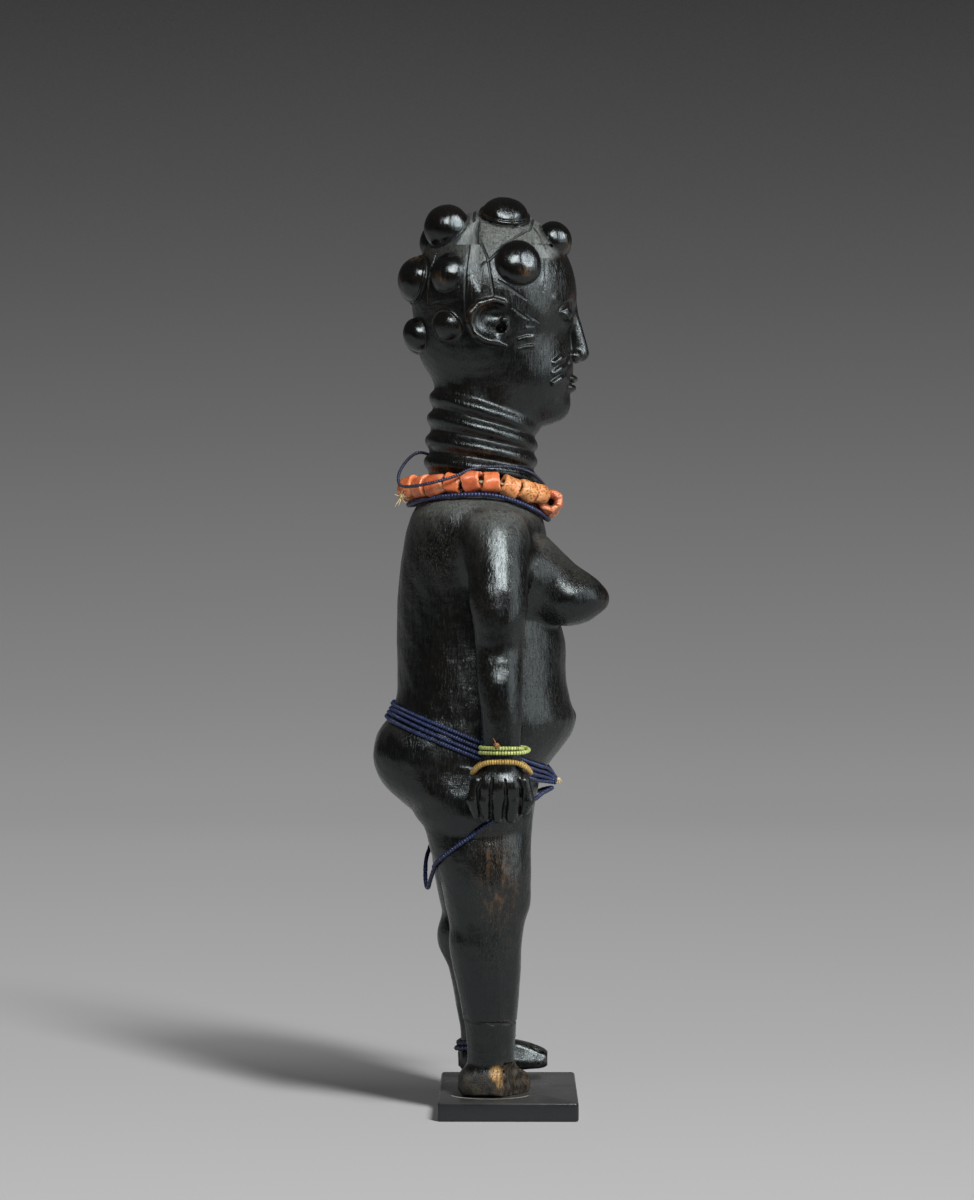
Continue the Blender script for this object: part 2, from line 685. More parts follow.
hair = []
for side in (LEFT, RIGHT):
    for i, (x, out, z, radius, height, lip) in enumerate(HAIR_KNOBS):
        shift = KNOB_SHIFT if side == LEFT and i == SHIFTED_KNOB else (0, 0, 0)
        centre = np.array((x + shift[0], side * (out + shift[1]), z + shift[2]))
        axis = (centre - SKULL_CENTRE) / SKULL_RADII ** 2
        axis /= np.linalg.norm(axis)
        if lip:
            foot = pushed_out(centre, skull, 0)[0]
            hair.append(add(hoop(foot - 0.15 * axis, axis, radius + 0.2, lip + 0.15), 0.4))
        hair.append(add(button(centre, axis, radius, height), 0.3))
        if i in KNIFE_FLATS:
            hair.append(knife_flat(side, centre, axis, radius, height, *KNIFE_FLATS[i]))


def parting(ends):
    """A thin line cut into the scalp through two or more places, following its curve."""
    chord = []
    for p, q in zip(ends, ends[1:]):
        count = max(int(np.linalg.norm(q - p) / 2), 2)
        chord.append(p + np.linspace(0, 1, count, endpoint=False)[:, None] * (q - p))
    chord = np.vstack(chord + [ends[-1:]])
    outward = chord - SKULL_CENTRE
    outward /= np.linalg.norm(outward, axis=1)[:, None]
    line = reach_out(np.broadcast_to(SKULL_CENTRE, chord.shape), outward, skull, 0.02, 40)
    return cut(trail(line, [0.15] + [0.38] * (len(line) - 2) + [0.15]), 0.15)


for side in (LEFT, RIGHT):
    for route in SIDE_PARTINGS:
        starts = [(x, 0, z) for x, z in route]
        hair.append(parting(reach_out(starts, (0, side, 0), skull, 0, 30)))
for ends in TOP_PARTINGS:
    for side in (LEFT, RIGHT):
        starts = [(x, side * y, 250) for x, y in ends]
        hair.append(parting(reach_out(starts, (0, 0, 1), skull, 0, 40)))

# The carved surface
# All of these forms and cuts make one skin over the block, which the knife leaves slightly uneven. It is made
# as two meshes, the head and the body, which meet in a level line under the necklace.
BODY = trunk + legs
FIGURE = BODY + arms + neck + skull + face + details + hair
MEETING_LEVEL = 189
OVERLAP = 2.5
CARVING_TRIANGLES = 190000
HEAD_BOX = ((-46, -34, MEETING_LEVEL - OVERLAP), (36, 34, 286))
BODY_BOX = ((-46, -44, 4), (36, 44, MEETING_LEVEL + OVERLAP))
HEAD_STEP = 0.32
BODY_STEP = 0.5
CORNERS = [(0, 0, 0), (1, 0, 0), (0, 1, 0), (1, 1, 0), (0, 0, 1), (1, 0, 1), (0, 1, 1), (1, 1, 1)]
EDGES = [(0, 1), (2, 3), (4, 5), (6, 7), (0, 2), (1, 3), (4, 6), (5, 7), (0, 4), (1, 5), (2, 6), (3, 7)]


def unevenness(points):
    """Low swells left by the knife, about a tenth of a millimetre high."""
    x, y, z = points.T
    swell = np.sin(0.61 * x + 0.35 * y + 0.21 * z) * np.sin(0.27 * x - 0.52 * y + 0.33 * z + 1.3)
    chips = np.sin(1.3 * x + 0.9 * y - 0.55 * z + 0.4) * np.sin(0.8 * x - 1.2 * y + 0.62 * z + 2.2)
    return 0.08 * swell + 0.03 * chips


def carved_at(points):
    return wood_at(points, FIGURE) + unevenness(points)


def wood_on_lattice(xs, ys, zs):
    """The distances on a lattice, one form at a time and only where that form reaches."""
    d = np.full((len(xs), len(ys), len(zs)), FAR, np.float32)
    for low, high, distance, k, cutting in FIGURE:
        ranges = []
        for places, a, b in zip((xs, ys, zs), low, high):
            ranges.append(slice(*np.searchsorted(places, (a - BOX_MARGIN, b + BOX_MARGIN))))
        i, j, m = ranges
        if min(r.stop - r.start for r in ranges) > 0:
            f = distance(xs[i, None, None], ys[None, j, None], zs[None, None, m])
            d[i, j, m] = shaped(d[i, j, m], f.astype(np.float32), k, cutting)
    return d


def skin_of(xs, ys, zs, d):
    """The surface at distance zero: a point in each crossed cell and a face across each crossed edge."""
    inside = d < 0
    count = np.zeros([n - 1 for n in d.shape], np.uint8)
    for a, b, c in CORNERS:
        count += inside[a:d.shape[0] - 1 + a, b:d.shape[1] - 1 + b, c:d.shape[2] - 1 + c]
    crossed = (count > 0) & (count < 8)
    i, j, m = np.nonzero(crossed)
    number = np.full(crossed.shape, -1, np.int64)
    number[crossed] = np.arange(len(i))
    values = [d[i + a, j + b, m + c] for a, b, c in CORNERS]
    places = [np.stack([xs[i + a], ys[j + b], zs[m + c]], 1) for a, b, c in CORNERS]
    total = np.zeros((len(i), 3))
    crossings = np.zeros(len(i))
    for p, q in EDGES:
        change = (values[p] < 0) != (values[q] < 0)
        t = np.where(change, values[p] / np.where(change, values[p] - values[q], 1), 0)
        total += np.where(change[:, None], places[p] + t[:, None] * (places[q] - places[p]), 0)
        crossings += change
    points = total / crossings[:, None]
    faces = []
    for axis in range(3):
        u = (axis + 1) % 3
        v = (axis + 2) % 3
        here = [slice(1, n - 1) for n in d.shape]
        here[axis] = slice(0, d.shape[axis] - 1)
        there = list(here)
        there[axis] = slice(1, d.shape[axis])
        starts_in = inside[tuple(here)]
        edge = np.stack(np.nonzero(starts_in != inside[tuple(there)]), 1)
        leaving = starts_in[tuple(edge.T)]
        edge += [0 if n == axis else 1 for n in range(3)]
        quad = []
        for back_u, back_v in ((1, 1), (0, 1), (0, 0), (1, 0)):
            cell = edge.copy()
            cell[:, u] -= back_u
            cell[:, v] -= back_v
            quad.append(number[tuple(cell.T)])
        quad = np.stack(quad, 1)
        faces.append(np.where(leaving[:, None], quad, quad[:, ::-1]))
    return points, np.concatenate(faces)


def new_piece(name, points, faces):
    """A mesh object in the scene from points in millimetres."""
    mesh = bpy.data.meshes.new(name)
    mesh.from_pydata((np.asarray(points) * MM).tolist(), [], np.asarray(faces).tolist())
    mesh.shade_smooth()
    piece = bpy.data.objects.new(name, mesh)
    bpy.context.scene.collection.objects.link(piece)
    return piece


def applied(piece):
    """The piece with its modifiers made part of its mesh."""
    depsgraph = bpy.context.evaluated_depsgraph_get()
    mesh = bpy.data.meshes.new_from_object(piece.evaluated_get(depsgraph))
    old = piece.data
    piece.modifiers.clear()
    piece.data = mesh
    bpy.data.meshes.remove(old)
    mesh.name = piece.name
    return piece


def points_of(piece):
    flat = np.empty(len(piece.data.vertices) * 3)
    piece.data.vertices.foreach_get("co", flat)
    return flat.reshape(-1, 3) / MM


def store(piece, name, values):
    """Keeps one number for each point of a mesh, for its material to read."""
    layer = piece.data.attributes.new(name, "FLOAT", "POINT")
    layer.data.foreach_set("value", np.asarray(values, np.float32))


def carved_piece(name, box, step, above):
    """The skin of the wood above or below the meeting level, and the way out of the wood at its points."""
    xs, ys, zs = [np.arange(low, high, step) for low, high in zip(*box)]
    rough_points, rough_faces = skin_of(xs, ys, zs, wood_on_lattice(xs, ys, zs))
    piece = new_piece(name, rough_points, rough_faces)
    fewer = piece.modifiers.new("fewer", "DECIMATE")
    fewer.ratio = min(1, CARVING_TRIANGLES / (2 * len(rough_faces)))
    applied(piece)
    skin = points_of(piece)
    for _ in range(2):
        off, gradient = slope_at(skin, carved_at)
        steepness = np.maximum((gradient ** 2).sum(1), 0.2)
        move = -(off / steepness)[:, None] * gradient
        skin += move / np.maximum(np.linalg.norm(move, axis=1) / 0.4, 1)[:, None]
    piece.data.vertices.foreach_set("co", (skin * MM).ravel())
    work = bmesh.new()
    work.from_mesh(piece.data)
    bmesh.ops.bisect_plane(work, geom=work.verts[:] + work.edges[:] + work.faces[:],
                           plane_co=(0, 0, MEETING_LEVEL * MM), plane_no=(0, 0, 1),
                           clear_outer=not above, clear_inner=above)
    work.to_mesh(piece.data)
    work.free()
    _, gradient = slope_at(points_of(piece), carved_at)
    outward = gradient / np.maximum(np.linalg.norm(gradient, axis=1), 1e-9)[:, None]
    piece.data.shade_smooth()
    piece.data.normals_split_custom_set_from_vertices(outward.tolist())
    return piece, outward


carvings = [
    carved_piece("carved_head", HEAD_BOX, HEAD_STEP, True),
    carved_piece("carved_body", BODY_BOX, BODY_STEP, False),
]


def smooth_step(low, high, values):
    t = np.clip((values - low) / (high - low), 0, 1)
    return t * t * (3 - 2 * t)


# The wood's skin
# The wood is almost black, polished by handling and rubbed down to red-brown where hands and knocks reach it.
# Grey dust has settled on the scalp, on the shoulders and in the folds, and the broken foot shows bare wood.
WORN_PLACES = [
    ((-2, -26, 74), (8, 6, 20), 0.8),
    ((2, -25, 56), (4, 5, 9), 0.6),
    ((-4.5, -24, 86), (5, 5, 7), 0.5),
    ((-41.5, 0, 108), (4, 22, 12), 0.5),
    ((30, -13, 157), (3.5, 6, 5), 0.7),
    ((30, 13, 157), (3.5, 6, 5), 0.6),
    ((5.4, -23.6, 256.4), (3.2, 4, 2.6), 1.0),
    ((-22, -20, 253.5), (5, 4, 3), 0.8),
    ((17.5, -7, 264.5), (3, 4, 3), 0.8),
    ((-33, -7, 253), (3, 5, 5), 0.6),
    ((-27, -8, 262), (5, 5, 4), 0.7),
    ((-8, -25, 245.5), (8, 3, 4), 1.0),
    ((-12.5, -24, 239), (2.4, 4, 6), 0.8),
    ((-8, 25, 243), (8, 3, 6), 0.8),
    ((20, -7, 249.5), (4, 5, 2), 0.7),
    ((-10, -15, 201), (8, 5, 2.6), 0.6),
    ((3, -15, 199), (8, 6, 3), 0.4),
    ((-3, 25, 70), (7, 6, 16), 0.4),
    ((-37, 14, 140), (4, 8, 24), 0.3),
    ((-3, 38, 140), (6, 4, 22), 0.35),
]


def near_places(points, places):
    """How strongly each point is touched by a list of round patches."""
    touched = np.zeros(len(points))
    for centre, size, amount in places:
        off = np.linalg.norm((points - centre) / size, axis=1)
        touched = np.maximum(touched, amount * (1 - smooth_step(0.35, 1.15, off)))
    return touched


FILMED_PLACES = [
    ((-22, -22, 176), (17, 12, 16), 1.0),
    ((6, -20, 140), (14, 12, 30), 0.7),
    ((12, -16, 112), (12, 12, 16), 0.6),
    ((-8, -40, 140), (5, 8, 40), 0.35),
    ((-2, -27, 70), (12, 8, 40), 0.6),
    ((0, -26, 82), (6, 5, 9), 1.0),
    ((14, -14, 166), (13, 11, 11), 0.9),
    ((10, -16, 252), (9, 8, 11), 0.9),
    ((-6, 30, 160), (26, 16, 30), 0.6),
    ((-36, 0, 160), (8, 26, 30), 0.5),
]
POLISHED_PLACES = [
    ((4, 10.5, 13.6), (9, 4, 4.5), 1.0),
    ((-3, -38, 166), (8, 9, 16), 0.6),
    ((-2, -40, 134), (6, 6, 12), 0.5),
    ((-2, -40, 103), (8, 4, 4), 0.8),
]
REACH_SMALL = 0.9
BARE_WOOD = [((-3.6, -21, 13), (2.5, 3, 2.6), 1.0), ((-2.6, -21, 10.4), (1.3, 2.4, 2.2), 0.6)]


def describe_skin(piece, outward):
    """Keeps on each point of a carved mesh what the wood is like there."""
    skin = points_of(piece)
    x, y, z = skin.T
    hollow = 1 - wood_at(skin + REACH_SMALL * outward, FIGURE) / REACH_SMALL
    ridge = 1 + wood_at(skin - REACH_SMALL * outward, FIGURE) / REACH_SMALL
    above_scalp = wood_at(skin, skull)
    hairline = 249 + (x + 3) * np.where(x > -3, 0.72, 0.5)
    haired = smooth_step(-1.5, 2, z - hairline) * (1 - smooth_step(17, 20, x))
    scalp = haired * (1 - smooth_step(0.35, 0.9, above_scalp))
    crown = smooth_step(248, 268, z + 0.15 * x) * (0.45 + 0.55 * smooth_step(-16, -10, x))
    shoulder = smooth_step(163, 184, z) * (1 - smooth_step(189, 194, z))
    shoulder *= smooth_step(-0.1, 0.7, outward[:, 2])
    upward = smooth_step(0.1, 0.8, outward[:, 2]) * (z < 189)
    foot_low = (1 - smooth_step(14.5, 18, z)) * (y < 0)
    break_out = (x - BREAK_CORNER[0]) * BREAK_NORMAL[0] + (y - BREAK_CORNER[1]) * BREAK_NORMAL[1]
    torn_face = foot_low * smooth_step(-1.4, -0.3, break_out)
    store(piece, "hollow", np.clip(hollow, 0, 1))
    store(piece, "ridge", np.clip(ridge, 0, 1))
    store(piece, "worn", near_places(skin, WORN_PLACES))
    store(piece, "film", near_places(skin, FILMED_PLACES))
    store(piece, "scalp", scalp)
    knob = haired * smooth_step(0.5, 1.4, above_scalp)
    store(piece, "polished", np.maximum(knob, near_places(skin, POLISHED_PLACES)))
    store(piece, "dusty", np.clip(0.7 * shoulder + 0.2 * upward + 0.98 * scalp * crown, 0, 1))
    store(piece, "bare", np.clip(0.05 * torn_face + near_places(skin, BARE_WOOD), 0, 1))
    store(piece, "rough_foot", foot_low * (1 - smooth_step(11, 15, z)))
    store(piece, "seam", np.exp(-((z - SEAM_HEIGHT + 0.4) / 0.45) ** 2) * (y < 0))


for piece, outward in carvings:
    describe_skin(piece, outward)


def set_to(socket, value):
    """Sets an input to a number, a vector or a colour, which is given without its alpha."""
    socket.default_value = (*value, 1) if socket.type == "RGBA" else value


def wired(tree, kind, inputs=(), **settings):
    """A new node whose inputs are set to values or linked to other nodes' outputs."""
    made = tree.nodes.new(kind)
    for key, value in settings.items():
        setattr(made, key, value)
    for key, value in dict(inputs).items():
        if isinstance(value, bpy.types.NodeSocket):
            tree.links.new(value, made.inputs[key])
        else:
            set_to(made.inputs[key], value)
    return made


def maths(tree, operation, a, b=0.0, clamp=False):
    return wired(tree, "ShaderNodeMath", {0: a, 1: b}, operation=operation, use_clamp=clamp).outputs[0]


def times(tree, a, b, clamp=False):
    return maths(tree, "MULTIPLY", a, b, clamp)


def plus(tree, a, b, clamp=False):
    return maths(tree, "ADD", a, b, clamp)


def less(tree, a, b, clamp=False):
    return maths(tree, "SUBTRACT", a, b, clamp)


def ranged(tree, value, low, high, to_low=0.0, to_high=1.0):
    """A value moved from one range to another, and held inside it."""
    inputs = {"Value": value, "From Min": low, "From Max": high, "To Min": to_low, "To Max": to_high}
    return wired(tree, "ShaderNodeMapRange", inputs, clamp=True).outputs[0]


def mixed(tree, share, a, b):
    inputs = {"Factor": share, 6: a, 7: b}
    return wired(tree, "ShaderNodeMix", inputs, data_type="RGBA").outputs[2]


def kept(tree, name):
    """The number that store() keeps under a name."""
    return wired(tree, "ShaderNodeAttribute", attribute_name=name).outputs["Fac"]


def noise(tree, place, scale, detail, roughness):
    inputs = {"Vector": place, "Scale": scale, "Detail": detail, "Roughness": roughness}
    return wired(tree, "ShaderNodeTexNoise", inputs).outputs["Fac"]


def new_material(name, **values):
    """A material whose Principled shader has these plain values."""
    material = bpy.data.materials.new(name)
    material.use_nodes = True
    shader = material.node_tree.nodes["Principled BSDF"]
    for key, value in values.items():
        set_to(shader.inputs[key.replace("_", " ")], value)
    return material, material.node_tree, shader


def surfaced(tree, shader, colour, roughness=None, relief=None, depth=0.0):
    """Joins what a material works out to its shader. The relief is as deep as depth, in metres."""
    tree.links.new(colour, shader.inputs["Base Color"])
    if roughness:
        tree.links.new(roughness, shader.inputs["Roughness"])
    if relief:
        bump = wired(tree, "ShaderNodeBump", {"Height": relief, "Strength": 1.0, "Distance": depth})
        tree.links.new(bump.outputs["Normal"], shader.inputs["Normal"])


def in_millimetres(tree, stretch=(1, 1, 1)):
    """The place on the object in millimetres, squeezed along each axis for a texture."""
    place = wired(tree, "ShaderNodeTexCoord").outputs["Object"]
    scale = tuple(s / MM for s in stretch)
    return wired(tree, "ShaderNodeMapping", {"Vector": place, "Scale": scale}).outputs[0]


wood, tree, shader = new_material("dark_wood", IOR=1.5, Specular_IOR_Level=0.6,
                                  Specular_Tint=(0.86, 0.97, 1.0))
place = in_millimetres(tree)
fibre = noise(tree, in_millimetres(tree, (1, 1, 0.07)), 1.0, 4, 0.6)
pores = noise(tree, in_millimetres(tree, (1, 1, 0.2)), 2.0, 3, 0.6)
patch = noise(tree, place, 0.07, 3, 0.55)
mottle = noise(tree, place, 0.4, 4, 0.6)
grains = noise(tree, place, 2.2, 2, 0.6)
flecks = noise(tree, in_millimetres(tree, (2.4, 2.4, 0.6)), 2.0, 3, 0.7)
ripple = noise(tree, in_millimetres(tree, (0.3, 0.3, 1)), 0.62, 3, 0.6)
hatch = noise(tree, in_millimetres(tree, (1.3, 1.3, 0.3)), 1.5, 4, 0.7)
dark = mixed(tree, ranged(tree, fibre, 0.35, 0.7), (0.0014, 0.0014, 0.0012), (0.0036, 0.0036, 0.0032))
brownish = mixed(tree, ranged(tree, patch, 0.45, 0.7, 0, 0.5), dark, (0.009, 0.0064, 0.0044))
worn_share = plus(tree, kept(tree, "worn"), times(tree, kept(tree, "ridge"), 0.3))
streaks = times(tree, ranged(tree, mottle, 0.36, 0.62), ranged(tree, fibre, 0.38, 0.6))
worn_share = times(tree, worn_share, streaks, clamp=True)
rubbed = mixed(tree, ranged(tree, fibre, 0.4, 0.7), (0.04, 0.02, 0.009), (0.14, 0.07, 0.029))
colour = mixed(tree, times(tree, worn_share, 0.8), brownish, rubbed)
bare_colour = mixed(tree, ranged(tree, grains, 0.3, 0.6), (0.2, 0.085, 0.025), (0.72, 0.42, 0.13))
bare_share = times(tree, kept(tree, "bare"), ranged(tree, pores, 0.3, 0.5), clamp=True)
foot_share = times(tree, kept(tree, "rough_foot"), ranged(tree, mottle, 0.38, 0.62, 0, 0.8))
colour = mixed(tree, foot_share, colour, (0.046, 0.032, 0.019))
colour = mixed(tree, bare_share, colour, bare_colour)
dust_share = times(tree, kept(tree, "dusty"), ranged(tree, hatch, 0.34, 0.62, 0.25, 1.0))
dust_share = less(tree, dust_share, times(tree, kept(tree, "hollow"), 0.8), clamp=True)
colour = mixed(tree, times(tree, dust_share, 0.9), colour, (0.155, 0.165, 0.153))
filmed = plus(tree, times(tree, kept(tree, "film"), 0.85), 0.05)
film = times(tree, ranged(tree, flecks, 0.52, 0.7, 0, 0.6), filmed)
colour = mixed(tree, film, colour, (0.13, 0.128, 0.106))
grime = times(tree, kept(tree, "hollow"), 0.9, clamp=True)
colour = mixed(tree, grime, colour, (0.0024, 0.0022, 0.002))
filler = times(tree, kept(tree, "seam"), ranged(tree, mottle, 0.58, 0.64, 0, 0.55), clamp=True)
colour = mixed(tree, filler, colour, (0.24, 0.21, 0.16))

roughness = ranged(tree, mottle, 0.3, 0.7, 0.16, 0.28)
roughness = plus(tree, roughness, ranged(tree, pores, 0.5, 0.7, 0, 0.12))
roughness = plus(tree, roughness, times(tree, dust_share, 0.35))
roughness = plus(tree, roughness, times(tree, film, 0.2))
roughness = less(tree, roughness, times(tree, kept(tree, "polished"), 0.07))
roughness = plus(tree, roughness, times(tree, kept(tree, "hollow"), 0.3))
roughness = plus(tree, roughness, times(tree, kept(tree, "rough_foot"), 0.4), clamp=True)

smoothed = less(tree, 1.0, times(tree, kept(tree, "polished"), 0.6))
grain = less(tree, fibre, times(tree, ranged(tree, pores, 0.5, 0.72), 0.35))
rings = times(tree, ripple, ranged(tree, patch, 0.42, 0.6, 0.1, 0.9))
relief = plus(tree, plus(tree, grain, rings), times(tree, mottle, 0.5))
relief = times(tree, relief, smoothed)
scratched = times(tree, times(tree, hatch, kept(tree, "scalp")), 0.8)
torn = times(tree, times(tree, grains, kept(tree, "rough_foot")), 2.0)
relief = plus(tree, relief, plus(tree, scratched, torn))
surfaced(tree, shader, colour, roughness, relief, 0.00013)

for piece, _ in carvings:
    piece.data.materials.clear()
    piece.data.materials.append(wood)
    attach(piece, "root")
    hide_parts("carved_figure")

# Base
# A flat plate of painted metal. Its edges are softened, and the dark paint has a low sheen with small chips.
# The right foot stands on it, in a thin pale line of old wax.
BASE_LENGTH = 42.5
BASE_WIDTH = 60
EDGE_ROUND = 0.75
EDGE_STEPS = 4


def rounded_plate(length, width, height, rounding, steps):
    """A plate with round edges: the same outline, drawn in at each level of the rounding."""
    def outline(inset):
        corner = rounding + 0.4
        points = []
        for sx, sy, start in ((1, 1, 0), (-1, 1, 90), (-1, -1, 180), (1, -1, 270)):
            for n in range(5):
                turn = math.radians(start + 22.5 * n)
                x = sx * (length / 2 - corner) + (corner - inset) * math.cos(turn)
                y = sy * (width / 2 - corner) + (corner - inset) * math.sin(turn)
                points.append((x, y))
        return points

    levels = []
    for n in range(steps + 1):
        turn = math.pi / 2 * n / steps
        levels.append((rounding * (1 - math.sin(turn)), rounding * (1 - math.cos(turn))))
    rings = [(inset, z) for inset, z in levels]
    rings += [(inset, height - z) for inset, z in reversed(levels)]
    points = []
    for inset, z in rings:
        points += [(x, y, z) for x, y in outline(inset)]
    around = len(points) // len(rings)
    faces = []
    for ring in range(len(rings) - 1):
        for n in range(around):
            a = ring * around + n
            b = ring * around + (n + 1) % around
            faces.append((a, b, b + around, a + around))
    faces.append(tuple(reversed(range(around))))
    faces.append(tuple(range((len(rings) - 1) * around, len(rings) * around)))
    return points, faces


plate_points, plate_faces = rounded_plate(BASE_LENGTH, BASE_WIDTH, BASE_HEIGHT, EDGE_ROUND, EDGE_STEPS)
base = bpy.data.meshes.new("metal_base")
base.from_pydata((np.array(plate_points) * MM).tolist(), [], plate_faces)
base.shade_smooth()
base = bpy.data.objects.new("metal_base", base)
bpy.context.scene.collection.objects.link(base)

paint, tree, shader = new_material("base_paint", IOR=1.5)
place = in_millimetres(tree)
cloud = noise(tree, place, 0.12, 3, 0.5)
grit = noise(tree, place, 3.2, 3, 0.65)
chip = noise(tree, place, 0.9, 4, 0.7)
split = wired(tree, "ShaderNodeSeparateXYZ", {0: place})
sides = mixed(tree, cloud, (0.017, 0.0185, 0.022), (0.025, 0.0265, 0.03))
dusty_top = mixed(tree, cloud, (0.044, 0.045, 0.044), (0.064, 0.064, 0.062))
tone = mixed(tree, ranged(tree, split.outputs["Z"], 5.2, 5.65), sides, dusty_top)
chipped = times(tree, ranged(tree, chip, 0.66, 0.7), ranged(tree, split.outputs["Z"], 0.8, 1.8, 0.8, 0))
tone = mixed(tree, chipped, tone, (0.22, 0.22, 0.21))
along = maths(tree, "DIVIDE", plus(tree, split.outputs["X"], 5.5), 12.0)
across = maths(tree, "DIVIDE", plus(tree, split.outputs["Y"], 13.8), 8.9)
ring = plus(tree, times(tree, along, along), times(tree, across, across))
line = ranged(tree, maths(tree, "ABSOLUTE", less(tree, ring, 1.0)), 0.03, 0.1, 1, 0)
line = times(tree, line, ranged(tree, split.outputs["Z"], 5.3, 5.6))
line = times(tree, line, ranged(tree, split.outputs["Y"], -18, -15, 1, 0))
line = times(tree, line, ranged(tree, chip, 0.3, 0.5, 0.3, 1))
tone = mixed(tree, line, tone, (0.52, 0.52, 0.47))
surfaced(tree, shader, tone, ranged(tree, cloud, 0.3, 0.7, 0.24, 0.36), grit, 0.00002)
base.data.materials.append(paint)
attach(base, "root")
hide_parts("base_plate")

# Coral necklace
# Twenty-four short, thick tubes of coral on a thread, lying round the foot of the neck and lower in front.
# Each is drilled by hand and worn uneven; a few at the front are old, pitted and yellowed.
REST_GAP = 0.06
CORAL_COUNT = 24
CORAL_RADIUS = 3.6
CORAL_SHARE = 0.96
CORAL_BORE = 1.05
COLLAR = {"x": -8.9, "depth": 21.6, "width": 20.6, "back": 190.4, "side": 192.4, "front": 185.8}
COLLAR_STEPS = 48
rng = np.random.RandomState(7)


def closed_curve(points, spacing=None, count=None):
    """Evenly spaced places on a smooth closed curve through the points, and its direction at each."""
    points = np.asarray(points, float)
    before = np.roll(points, 1, 0)
    after = np.roll(points, -1, 0)
    beyond = np.roll(points, -2, 0)
    dense = []
    for t in np.linspace(0, 1, 16, endpoint=False):
        dense.append(0.5 * (2 * points + (after - before) * t
                            + (2 * before - 5 * points + 4 * after - beyond) * t * t
                            + (3 * points - before - 3 * after + beyond) * t ** 3))
    dense = np.stack(dense, 1).reshape(-1, 3)
    loop = np.vstack([dense, dense[:1]])
    length = np.concatenate([[0], np.cumsum(np.linalg.norm(np.diff(loop, axis=0), axis=1))])
    if count is None:
        count = int(round(length[-1] / spacing))
    wanted = (np.arange(count) + 0.5) * length[-1] / count

    def read(at):
        return np.stack([np.interp(at % length[-1], length, loop[:, c]) for c in range(3)], 1)

    ahead = read(wanted + 0.2) - read(wanted - 0.2)
    return read(wanted), ahead / np.linalg.norm(ahead, axis=1)[:, None], length[-1]


def across_of(direction):
    """Two directions at right angles to the given one and to each other."""
    helper = np.array((0.0, 0.0, 1.0)) if abs(direction[2]) < 0.9 else np.array((1.0, 0.0, 0.0))
    u = np.cross(helper, direction)
    u /= np.linalg.norm(u)
    return u, np.cross(direction, u)


def collar_points(turns, spread):
    level = np.where(np.cos(turns) > 0, COLLAR["front"], COLLAR["back"])
    height = COLLAR["side"] + (level - COLLAR["side"]) * np.cos(turns) ** 2
    x = COLLAR["x"] + spread * COLLAR["depth"] * np.cos(turns)
    return np.stack([x, spread * COLLAR["width"] * np.sin(turns), height], 1)


turns = 2 * np.pi * np.arange(COLLAR_STEPS) / COLLAR_STEPS
spread = np.ones(COLLAR_STEPS)
for _ in range(40):
    tight = away_from(collar_points(turns, spread), FIGURE)[0] < CORAL_RADIUS + 0.3
    if not tight.any():
        break
    spread = spread + 0.01 * tight
widest = np.max([np.roll(spread, n) for n in range(-2, 3)], 0)
collar = collar_points(turns, np.mean([np.roll(widest, n) for n in range(-2, 3)], 0))
coral_places, coral_directions, collar_length = closed_curve(collar, count=CORAL_COUNT)
coral_half = CORAL_SHARE * collar_length / CORAL_COUNT / 2
OLD_BEADS = {19: 0.8, 20: 1.0, 21: 0.8, 12: 0.7, 3: 0.6}
CORAL_AROUND = 56
CORAL_END = [(1, 0.3), (1, 0.6), (0.99, 0.8), (0.94, 0.92), (0.86, 0.98), (0.72, 1)]
CORAL_WALL = [(out, -along) for out, along in reversed(CORAL_END)] + [(1, 0)] + CORAL_END
CORAL_HOLE = [(1.0, 0.96), (0.96, 0.6), (0.92, 0), (0.96, -0.6), (1.0, -0.96)]
ASKEW = {
    22: ((1, -0.5, -0.2), (-0.5, 0, 0.1), 1.1),
    23: ((0.3, 0, 0.9), (0.1, 0, 0.3), 1.05),
    21: ((-0.2, 0.2, 0.8), (0.1, 0, 0.25), 0.92),
    19: ((0, 0, -0.5), (0, 0, -0.2), 1.0),
    17: ((0, -0.2, 0.3), (0, 0, 0.16), 1.05),
    16: ((0, 0.3, -0.2), (0, 0, -0.2), 0.9),
    15: ((0, -0.5, -0.2), (0.15, 0, 0.12), 1.05),
    13: ((-1, -0.8, 0.4), (0.4, 0, 0.2), 1.04),
}


